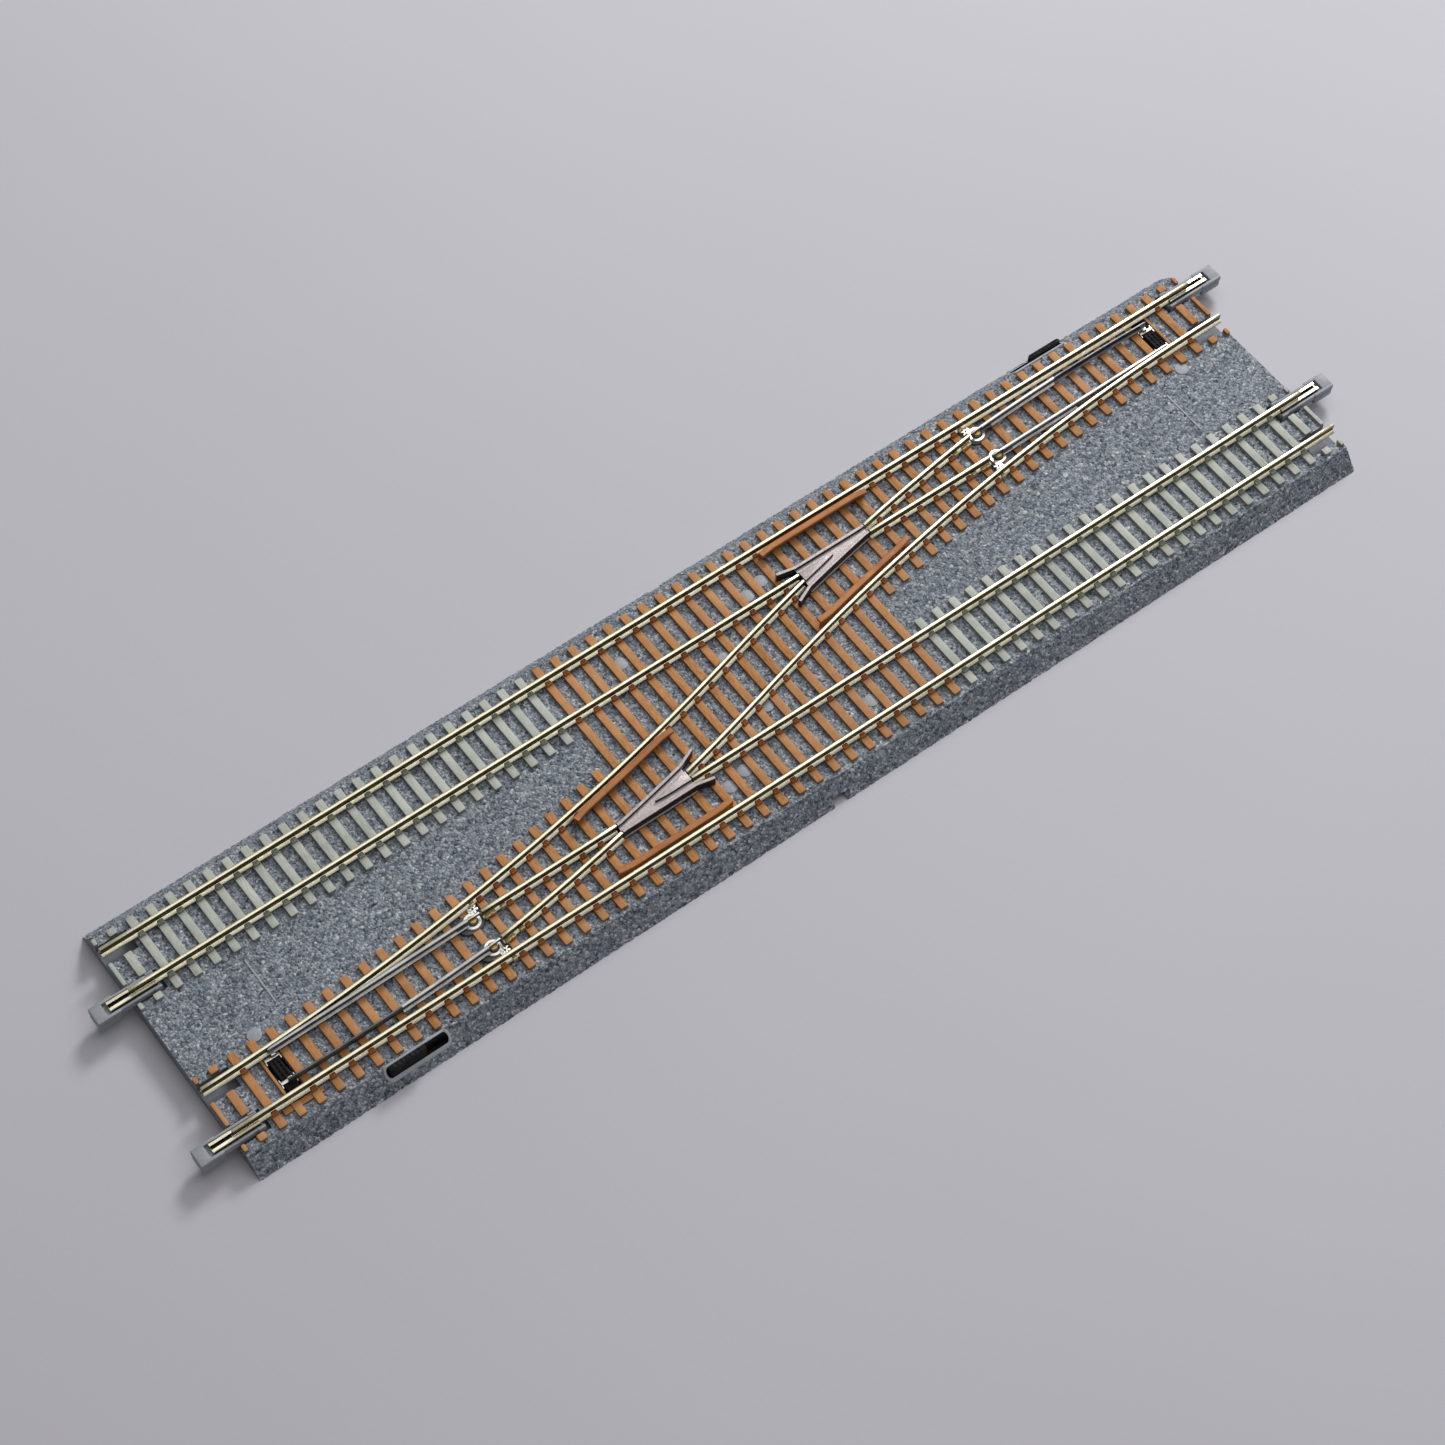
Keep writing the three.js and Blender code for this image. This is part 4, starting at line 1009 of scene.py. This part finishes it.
def make_concrete_sleepers():
    rng = np.random.default_rng(13)
    lines = [(SPACING - RAIL_Y, 0.0, True, True), (SPACING + RAIL_Y, 0.0, True, True)]
    rails = (SPACING - RAIL_Y, SPACING + RAIL_Y)
    for end in ENDS:
        shape = Shape()
        for i in range(FIRST_LONG):
            add_sleeper(shape, i, SPACING - HALF_SLEEPER, SPACING + HALF_SLEEPER, rails, rng)
            if i > 1:
                add_chairs(shape, i, lines, [])
        add_web(shape, 6.4, (FIRST_LONG - 1) * PITCH, SPACING + RAIL_Y)
        name = "concrete_ties_" + end
        replaced = ["concrete_sleepers_" + end]
        make(name, shape, [CONCRETE, CONCRETE_CHAIR], "track_base", replaced, end=end)


# ---- Rails ----


def rail_section(left=0.85, right=0.85, base=RAIL_BASE, top=RAIL_TOP, head=HEAD_WIDTH / 2):
    """Flat-bottomed rail: foot, web and a head with rounded corners. left and right are foot widths."""

    def half(foot):
        foot = max(foot * 0.92, 0.22)
        return [
            (foot, base), (foot, base + 0.13), (foot - 0.04, base + 0.17), (min(0.36, foot), base + 0.35),
            (0.19, base + 0.44), (0.19, top - 0.78), (0.24, top - 0.66), (head, top - 0.6),
            (head, top - 0.16), (head * 0.93, top - 0.06), (head * 0.72, top - 0.012), (head * 0.3, top),
        ]

    return half(right) + [(-u, z) for u, z in reversed(half(left))]


def foot_limits(path, neighbour):
    """Half widths of a foot that stays clear of the foot of the rail beside it."""
    limits = []
    for x, y in path:
        gap = abs(neighbour(x) - y)
        limits.append(min(FOOT_WIDTH / 2, max(0.24, gap / 2 - 0.06)))
    return limits


def straight_path(x0, x1, y, step=12.0):
    count = max(1, round((x1 - x0) / step))
    return [(x0 + (x1 - x0) * i / count, y) for i in range(count + 1)]


def crossing_path(x0, x1, left, step=4.0):
    count = max(1, round((x1 - x0) / step))
    xs = [x0 + (x1 - x0) * i / count for i in range(count + 1)]
    return [(x, crossing_y(x, left)) for x in xs]


def make_rail(name, path, end, left=None, right=None):
    """One rail, with its ends rounded off a little."""
    full = [FOOT_WIDTH / 2] * len(path)
    left, right = left or full, right or full
    shape = Shape()
    first, last = path[0], path[-1]
    lead = 0.07
    d0 = (Vector(path[1]) - Vector(first)).normalized() * lead
    d1 = (Vector(path[-2]) - Vector(last)).normalized() * lead
    longer = [first, tuple(Vector(first) + d0), *path[1:-1], tuple(Vector(last) + d1), last]
    lefts = [left[0], left[0], *left[1:-1], left[-1], left[-1]]
    rights = [right[0], right[0], *right[1:-1], right[-1], right[-1]]

    def section(i):
        if i in (0, len(longer) - 1):
            base, top = RAIL_BASE + 0.04, RAIL_TOP - 0.05
            return rail_section(lefts[i] - 0.05, rights[i] - 0.05, base, top, 0.28)
        return rail_section(lefts[i], rights[i])

    sweep(shape, longer, section)
    make(name, shape, [NICKEL], "track_base", [name], end=end, smooth=50)


def make_rails():
    closure0, closure1 = HEEL_X + 2, FROG_TOE - 0.25
    for end in ENDS:
        make_rail("stock_rail_straight_" + end, straight_path(0, LENGTH, -RAIL_Y), end)
        curve = crossing_path(0, LENGTH - FROG_HEEL - 0.25, RAIL_Y)
        beside = [FOOT_WIDTH / 2] * len(curve)
        for i, (x, y) in enumerate(curve):
            if x > LENGTH - 118:
                beside[i] = min(FOOT_WIDTH / 2, max(0.24, (SPACING - RAIL_Y - y) / 2 - 0.06))
        make_rail("stock_rail_curved_" + end, curve, end, left=beside)
        straight = straight_path(closure0, closure1, RAIL_Y, 4)
        limits = foot_limits(straight, lambda x: crossing_y(x, -RAIL_Y))
        make_rail("closure_rail_straight_" + end, straight, end, right=limits)
        curved = crossing_path(closure0, closure1, -RAIL_Y)
        limits = foot_limits(curved, lambda x: RAIL_Y)
        make_rail("closure_rail_curved_" + end, curved, end, left=limits)
        behind = straight_path(FROG_HEEL + 0.25, LENGTH, RAIL_Y, 4)
        limits = foot_limits(behind, lambda x: crossing_y(x, -RAIL_Y) if x < 120 else 99)
        make_rail("frog_rail_" + end, behind, end, left=limits)


# ---- Frog ----


def make_frogs():
    tip = FROG_HEEL + 3.6
    upper = [(FROG_TOE, RAIL_Y), (KNUCKLE - 0.3, RAIL_Y)]
    upper += [(x, y + WING_OFFSET) for x, y in crossing_path(KNUCKLE + 0.6, FROG_HEEL, -RAIL_Y, 1.6)]
    upper.append((tip, crossing_y(tip, -RAIL_Y) + WING_OFFSET + FLARE))
    lower = [
        (FROG_TOE, crossing_y(FROG_TOE, -RAIL_Y)),
        (KNUCKLE + 0.3, RAIL_Y - WING_OFFSET),
        (FROG_HEEL, RAIL_Y - WING_OFFSET),
        (tip, RAIL_Y - WING_OFFSET - FLARE),
    ]
    floor = RAIL_TOP - 0.7
    nose = FROG_POINT - 0.6
    shoulder = spread_x(0.4)
    half = HEAD_WIDTH / 2
    point = [(nose, RAIL_Y + 0.1)]
    point += [(x, y + half) for x, y in crossing_path(shoulder, FROG_HEEL, -RAIL_Y, 1.6)]
    point += [(FROG_HEEL, RAIL_Y - half), (shoulder, RAIL_Y - half), (nose, RAIL_Y - 0.12)]
    point.reverse()
    wing = [
        (half, RAIL_BASE), (half, RAIL_TOP - 0.12), (half - 0.04, RAIL_TOP - 0.03), (half - 0.12, RAIL_TOP),
    ]
    wing += [(-u, z) for u, z in reversed(wing)]
    flat_foot = [(0.62, RAIL_BASE), (0.62, FOOT_TOP - 0.05)]
    flat_foot += [(-u, z) for u, z in reversed(flat_foot)]
    for end in ENDS:
        shape = Shape()
        base = [*lower[:-1], *reversed(upper[:-1])]
        shape.loft([[(x, y, z) for x, y in base] for z in (RAIL_BASE, floor)])
        sweep(shape, upper, lambda i: wing)
        sweep(shape, lower, lambda i: wing)
        rounded_plate(shape, point, floor - 0.2, RAIL_TOP - 0.03, 0.07)
        sweep(shape, upper[:-1], lambda i: flat_foot)
        sweep(shape, lower[:-1], lambda i: flat_foot)
        make("frog_" + end, shape, [FROG], "track_base", ["frog_" + end], end=end)

        gaps = Shape()
        toes = ((RAIL_Y, 0.0), (crossing_y(FROG_TOE, -RAIL_Y), 0.09))
        for y, slope in toes:
            flat = turned(rectangle(-0.11, 0.11, -0.3, 0.3, 0.04), math.atan(slope), (FROG_TOE - 0.125, y))
            rounded_plate(gaps, flat, SLEEPER_TOP, RAIL_TOP - 0.06, 0.05)
        for line in (lambda x: RAIL_Y, lambda x: crossing_y(x, -RAIL_Y)):
            y = line(FROG_HEEL + 0.125)
            flat = rectangle(FROG_HEEL + 0.02, FROG_HEEL + 0.23, y - 0.3, y + 0.3, 0.04)
            rounded_plate(gaps, flat, SLEEPER_TOP, RAIL_TOP - 0.06, 0.05)
        make("frog_insulators_" + end, gaps, [INSULATOR], "track_base", end=end)


# ---- Blades, heels and throw bar ----


def blade_section(width, inward, both):
    """A blade's section: head, web and a foot on the side away from its stock rail, or on both."""
    half = width / 2
    base, top = BLADE_BASE, BLADE_TOP
    out = [
        (half + 0.3, base), (half + 0.3, base + 0.14), (half + 0.04, base + 0.24), (half * 0.6, base + 0.34),
        (half * 0.6, top - 0.62), (half, top - 0.5), (half, top - 0.1), (half * 0.8, top - 0.02),
        (half * 0.3, top),
    ]
    flat = [(half, base), (half, top - 0.1), (half * 0.8, top - 0.02), (half * 0.3, top)]
    section = out + [(-u, z) for u, z in reversed(out if both else flat)]
    if inward > 0:
        section = [(-u, z) for u, z in reversed(section)]
    return section


def make_blade(kind, end):
    """A blade with its heel boss, and at the tip a leg and a sheet bracket around the throw bar."""
    blade = BLADES[kind]
    px, py = blade["pivot"]
    inward = blade["inward"]
    shape = Shape()
    xs = [BLADE_TIP, BLADE_TIP + 0.5, *np.linspace(BLADE_TIP + 2, HEEL_X - 1.0, 16)]
    # The front part is planed on its closing side. On the blade of the curve, which rests open, it is also
    # thin, and its front takes the darker iron colour as a painted dark reflection.
    open_blade_painted_dark = kind == "curved"
    for part, material in ((xs[:11], 2 if open_blade_painted_dark else 0), (xs[10:], 0)):

        def section(i, part=part):
            share = min((part[i] - BLADE_TIP) / BLADE_TAPER, 1)
            front = part[0] == BLADE_TIP
            width = 0.34 if open_blade_painted_dark and front else TIP_WIDTH + (HEAD_WIDTH - TIP_WIDTH) * share
            points = blade_section(width, inward, not front)
            if part[i] == BLADE_TIP:  # the very tip is narrower and lower
                points = [(u * 0.6, z - 0.12 if z > 6.5 else z) for u, z in points]
            return points

        sweep(shape, [(x, blade_y(blade, x)) for x in part], section, material)
    rounded_plate(shape, circle(px, py, 0.95), BLADE_BASE, BLADE_BASE + 0.3, 0.08, 2)
    boss = rectangle(px - 3.4, px - 0.7, py - 0.42, py + 0.42, 0.1)
    rounded_plate(shape, boss, BLADE_BASE, BLADE_BASE + 0.5, 0.1, 2)
    heading = math.atan2(blade["line"](px + 1) - blade["line"](px - 1), 2.0)
    nose = turned(rectangle(-1.3, 1.55, -0.2, 0.2, 0.08), heading, (px, py))
    rounded_plate(shape, nose, 6.3, BLADE_TOP - 0.02, 0.07)

    centre = blade_y(blade, LEG_X)
    leg_y = centre + inward * (FOOT_WIDTH / 2 - HEAD_WIDTH / 4)
    t0, t1 = sorted((centre, leg_y + inward * 0.2))
    foot = rectangle(LEG_X - 0.4, LEG_X + 0.4, t0, t1, 0.05)
    rounded_plate(shape, foot, BLADE_BASE, BLADE_BASE + 0.3, 0.05, 1)
    leg = rectangle(LEG_X - 0.4, LEG_X + 0.4, leg_y - 0.2, leg_y + 0.2)
    rounded_plate(shape, leg, 3.45, BLADE_BASE + 0.2, 0.04, 1)
    outer = BAR_WIDTH / 2 + 0.4
    plate_low, plate_top = WEB_TOP + 0.05, RAIL_BASE - 0.05
    flat = rectangle(BAR_CENTRE - outer, BAR_CENTRE + outer, leg_y - 0.34, leg_y + 0.34, 0.1)
    rounded_plate(shape, flat, plate_low, plate_top, 0.07, 1)
    for side in (-1, 1):
        a, b = sorted((BAR_CENTRE + side * outer, BAR_CENTRE + side * (outer - 0.2)))
        rounded_plate(shape, rectangle(a, b, leg_y - 0.9, leg_y + 0.9), 3.85, plate_low + 0.1, 0.04, 1)
    around_pivot = [(x - px, y - py, z) for x, y, z in shape.points]
    shape.points = turned(around_pivot, blade["rest"], (px, py))
    name = f"blade_{kind}_{end}"
    make(name, shape, [STEEL, PLATED, IRON], name, [name], end=end, smooth=45)


def make_heel(kind, end):
    """Plated ring with a star-shaped tab to the stock rail, and the brass pin in its middle."""
    blade = BLADES[kind]
    px, py = blade["pivot"]
    stock = blade["stock"](px + 1)
    shape = Shape()
    z0, z1 = RAIL_BASE, RAIL_BASE + 0.38
    outer, inner = circle(px, py, 1.7, 32), circle(px, py, 1.0, 32)
    loops = [
        [(x, y, z0) for x, y in inner],
        [(x, y, z0) for x, y in outer],
        [(x, y, z1 - 0.12) for x, y in outer],
        [(x, y, z1) for x, y in circle(px, py, 1.58, 32)],
        [(x, y, z1) for x, y in circle(px, py, 1.12, 32)],
        [(x, y, z1 - 0.1) for x, y in inner],
    ]
    add_ring(shape, loops)
    reach = stock + blade["inward"] * 0.95
    y0, y1 = sorted((py - blade["inward"] * 1.2, reach))
    rounded_plate(shape, rectangle(px + 0.3, px + 1.5, y0, y1, 0.1), z0, z1 - 0.02, 0.06)
    middle = (y0 + y1) / 2 if y1 - y0 > 0.6 else y0
    for k in range(3):
        angle = math.radians(35 + 60 * k)
        arm = turned(rectangle(-0.95, 0.95, -0.2, 0.2, 0.06), angle, (px + 1.35, middle + 0.1))
        rounded_plate(shape, arm, z1 - 0.1, z1 + 0.1, 0.05)
    name = f"heel_contact_{kind}_{end}"
    make(name, shape, [PLATED], "track_base", [name], end=end)

    pin = Shape()
    head = BLADE_BASE + 0.4
    rounded_plate(pin, circle(px, py, 0.5, 20), 3.2, head + 0.1, 0.05)
    rounded_plate(pin, circle(px, py, 0.8, 24), head, head + 0.3, 0.16)
    rounded_plate(pin, circle(px, py, 0.36, 16), head + 0.2, head + 0.36, 0.08)
    name = f"heel_pin_{kind}_{end}"
    make(name, pin, [BRASS], "track_base", [name], end=end)


def make_heel_clips(end):
    """Brass joiners at the start of the closure rails, and the dark seat under each heel."""
    clips = Shape()
    seats = Shape()
    for blade in BLADES.values():
        px, py = blade["pivot"]
        for start, stop, half, rise in ((2.3, 4.5, 0.98, 0.18), (5.6, 6.7, 0.9, 0.3)):
            x0, x1 = px + start, px + stop
            centre = ((x0 + x1) / 2, blade["line"]((x0 + x1) / 2))
            slope = (blade["line"](x1) - blade["line"](x0)) / (x1 - x0)
            length = (x1 - x0) / 2
            for side in (-1, 1):
                flat = sided(rectangle(-length, length, 0.24, half, 0.06), side)
                flat = turned(flat, math.atan(slope), centre)
                rounded_plate(clips, flat, SLEEPER_TOP - 0.3, FOOT_TOP + rise, 0.08)
        centre = (px + 1.9, blade["stock"](px + 1.9))
        for side in (-1, 1):
            flat = turned(sided(rectangle(-0.45, 0.45, 0.24, 0.98, 0.06), side), 0.0, centre)
            rounded_plate(clips, flat, SLEEPER_TOP - 0.3, FOOT_TOP + 0.22, 0.08)
        outline = stadium(px - 1.1, px + 0.3, py, 1.85, 12)
        rounded_plate(seats, outline, ROADBED_TOP - 0.3, SLEEPER_TOP + 0.02, 0.1)
    make("heel_clips_" + end, clips, [PALE_BRASS], "track_base", end=end)
    make("heel_seats_" + end, seats, [SEAT], "track_base", end=end)


def make_throw_bar(end):
    """Bar with ribs between its two brackets, and a drive pin below."""
    shape = Shape()
    x0, x1 = BAR_CENTRE - BAR_WIDTH / 2, BAR_CENTRE + BAR_WIDTH / 2
    holes = sorted((leg_of(b) for b in BLADES.values()), key=lambda p: p[1])
    rounded_plate(shape, rectangle(x0, x1, BAR_Y0, BAR_Y1, 0.12), 3.35, 3.9, 0.05)
    rows = []
    y = BAR_Y0
    for hx, hy in holes:
        rows.append((y, hy - 0.35))
        y = hy + 0.35
    rows.append((y, BAR_Y1))
    for a, b in rows:
        rounded_plate(shape, rectangle(x0, x1, a, b, 0.1), 3.8, WEB_TOP, 0.06)
    for hx, hy in holes:
        for a, b in ((x0, hx - 0.55), (hx + 0.55, x1)):
            rounded_plate(shape, rectangle(a, b, hy - 0.4, hy + 0.4), 3.8, WEB_TOP, 0.04)
    low, high = holes[0][1] + 0.6, holes[1][1] - 0.6
    for k in range(3):
        x = x0 + 0.3 + k * (BAR_WIDTH - 0.6) / 2
        rib = rectangle(x - 0.22, x + 0.22, low, high, 0.08)
        rounded_plate(shape, rib, WEB_TOP - 0.1, WEB_TOP + 0.28, 0.1)
    count = 5
    for k in range(count):
        y = low + (high - low) * (k + 0.5) / count
        rib = rectangle(x0 + 0.1, x1 - 0.1, y - 0.16, y + 0.16, 0.05)
        rounded_plate(shape, rib, WEB_TOP - 0.1, WEB_TOP + 0.16, 0.06)
    rounded_plate(shape, rectangle(x0, x1, BAR_Y0, low - 1.3, 0.1), WEB_TOP - 0.1, WEB_TOP + 0.26, 0.1)
    rounded_plate(shape, circle(BAR_CENTRE, THROW / 4, 0.5, 16), 1.15, 3.5, 0.05)
    name = "throw_bar_" + end
    make(name, shape, [LEVER_BLACK], "throw_" + end, [name], end=end)


def make_lever(end):
    """Finger lever with a rounded top and grip ridges."""
    shape = Shape()
    radius = 0.53
    half = LEVER_LENGTH / 2 - radius
    outline = stadium(LEVER_X - half, LEVER_X + half, SLOT_Y, radius, 8)
    rounded_plate(shape, outline, 1.1, 4.8, 0.14)
    for k in range(7):
        x = LEVER_X - 2.7 + 0.9 * k
        ridge = rectangle(x - 0.26, x + 0.26, SLOT_Y - 0.42, SLOT_Y + 0.42, 0.08)
        rounded_plate(shape, ridge, 4.6, 4.9, 0.08)
    name = "manual_lever_" + end
    make(name, shape, [LEVER_BLACK], "drive_" + end, [name], end=end)


# ---- Joiners ----


def make_joiners(end):
    for number, y in ((1, -RAIL_Y), (2, SPACING - RAIL_Y)):
        holder = Shape()
        bottom, top = 2.5, FOOT_TOP
        # A block that hooks under the next piece of track, on a narrower neck that reaches into the pocket.
        block = rectangle(-HOLDER_OUT, -2.7, y - 1.9, y + 1.9, 0.5)
        rounded_plate(holder, block, bottom, 4.5, 0.2, below=True)
        rounded_plate(holder, rectangle(-3.2, HOLDER_IN, y - 1.35, y + 1.35, 0.1), bottom + 0.35, 4.5, 0.1)
        for side in (-1, 1):
            a, b = sorted((y + side * 1.9, y + side * 1.22))
            rounded_plate(holder, rectangle(-HOLDER_OUT, -2.7, a, b, 0.22), 4.2, top - 0.05, 0.16)
            a, b = sorted((y + side * 1.72, y + side * 1.22))
            rounded_plate(holder, rectangle(-3.0, HOLDER_IN, a, b, 0.1), 3.9, top - 0.15, 0.12)
            a, b = sorted((y + side * 1.9, y + side * 1.45))
            rounded_plate(holder, rectangle(HOLDER_IN - 1.5, HOLDER_IN, a, b, 0.12), 3.2, top, 0.1)
        rounded_plate(holder, rectangle(-HOLDER_OUT, -5.1, y - 1.55, y + 1.55, 0.3), 4.2, top - 0.02, 0.2)
        name = f"joiner_holder_{number}_{end}"
        make(name, holder, [GREY], "track_base", [name], end=end)

        joiner = Shape()
        outer, lip = 0.98, 0.38
        floor, wall_top = 4.65, FOOT_TOP + 0.25
        section = [
            (outer - 0.08, floor), (outer, floor + 0.08), (outer, wall_top - 0.1), (outer - 0.1, wall_top),
            (lip, wall_top + 0.02), (lip, FOOT_TOP + 0.06), (0.87, FOOT_TOP + 0.05), (0.88, 4.87),
        ]
        section += [(-u, z) for u, z in reversed(section)]
        path = [(x, y) for x in (-4.3, -3.9, -0.4, 0.0, 4.6, 5.0)]
        flare = [1.06, 1.0, 1.0, 0.97, 1.0, 1.04]
        sweep(joiner, path, lambda i: [(u * flare[i], z) for u, z in section])
        # A thin black plate on the floor of the channel's empty outer half: painted shade between the lips.
        rounded_plate(joiner, rectangle(-4.2, -0.15, y - 0.85, y + 0.85), 4.84, 4.92, 0.02, 1)
        name = f"rail_joiner_{number}_{end}"
        make(name, joiner, [NICKEL, INSULATOR], "track_base", [name], end=end)


# ---- Underside ----


def make_cover():
    """Bottom cover: the CAD plate with shallow recessed panels and ribs between them."""
    panel = Shape()
    columns, rows = 8, 2
    x_edge, y_edge = 115.0, 25.0
    width, depth = 2 * x_edge / columns, 2 * y_edge / rows
    screws = [(sx * 96, sy * 6) for sx in (-1, 1) for sy in (-1, 1)]
    for c in range(columns):
        for r in range(rows):
            x0, y0 = -x_edge + c * width, -y_edge + r * depth
            cx, cy = x0 + width / 2, y0 + depth / 2
            if any(abs(cx - sx) < width / 2 + 2.4 and abs(cy - sy) < depth / 2 + 2.4 for sx, sy in screws):
                panel_y = (y0 + 1, y0 + depth - 9.5) if cy < 0 else (y0 + 9.5, y0 + depth - 1)
            else:
                panel_y = (y0 + 1, y0 + depth - 1)
            outline = rectangle(x0 + 1, x0 + width - 1, *panel_y, 1.2)
            rings = [(0.0, -0.5), (0.0, 0.05), (0.35, 0.3)]
            panel.loft([[(x, y, z) for x, y in inset(outline, d)] for d, z in rings])
    plate = cad_copy("bottom_cover", [BLACK])
    plate.name = "cover_plate"
    combine(plate, bare_object("panels", panel, [BLACK]), "DIFFERENCE")
    finish_mesh(plate.data, 30)
    attach(plate, "track_base", ["bottom_cover"])


def make_screws():
    """Cross-head screws."""
    for number, (x, y) in enumerate(((-96, -6), (96, -6), (96, 6), (-96, 6)), 1):
        shape = Shape()
        rounded_plate(shape, circle(x, y, 1.6, 28), 0.17, 0.45, 0.05)
        arm, width, radius, low = 1.05, 0.18, 1.55, 0.05
        first = math.asin(width / radius)
        # The head's lower face is four quadrants around the cross, joined beyond the ends of its arms.
        for quarter in range(4):
            start = quarter * math.pi / 2
            arc = [
                (x + radius * math.cos(start + a), y + radius * math.sin(start + a))
                for a in np.linspace(first, math.pi / 2 - first, 8)
            ]
            inner = turned([(width, width)], start, (x, y))
            rounded_plate(shape, arc + inner, low, 0.3, 0.06, below=True)
            gap = turned([(arm, -width), (radius, -width), (radius, width), (arm, width)], start, (x, y))
            rounded_plate(shape, gap, low, 0.3, 0.05, below=True)
        rounded_plate(shape, circle(x, y, 0.75, 16), 0.3, 2.7, 0.1)
        make(f"screw_{number}", shape, [STEEL], "track_base", [f"cover_screw_{number}"])


def paint_hidden_nodes():
    """Materials for the CAD pieces that stay: the drive and the board inside the roadbed."""
    looks = {
        "circuit_board": BOARD,
        "cable_terminal": GREY,
        "drive_slide": GREY,
        "plunger": IRON,
        "coil_bobbin": BLACK,
        "coil_winding": COPPER,
        "detent_spring": STEEL,
    }
    for name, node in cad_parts.items():
        stem = name.removesuffix("_west").removesuffix("_east")
        if stem in looks:
            node.data.materials.clear()
            node.data.materials.append(looks[stem])


make_roadbed()
make_bed_details()
make_wood_sleepers()
make_concrete_sleepers()
make_rails()
make_frogs()
for end in ENDS:
    for kind in BLADES:
        make_blade(kind, end)
        make_heel(kind, end)
    make_heel_clips(end)
    make_throw_bar(end)
    make_lever(end)
    make_joiners(end)
make_cover()
make_screws()
paint_hidden_nodes()
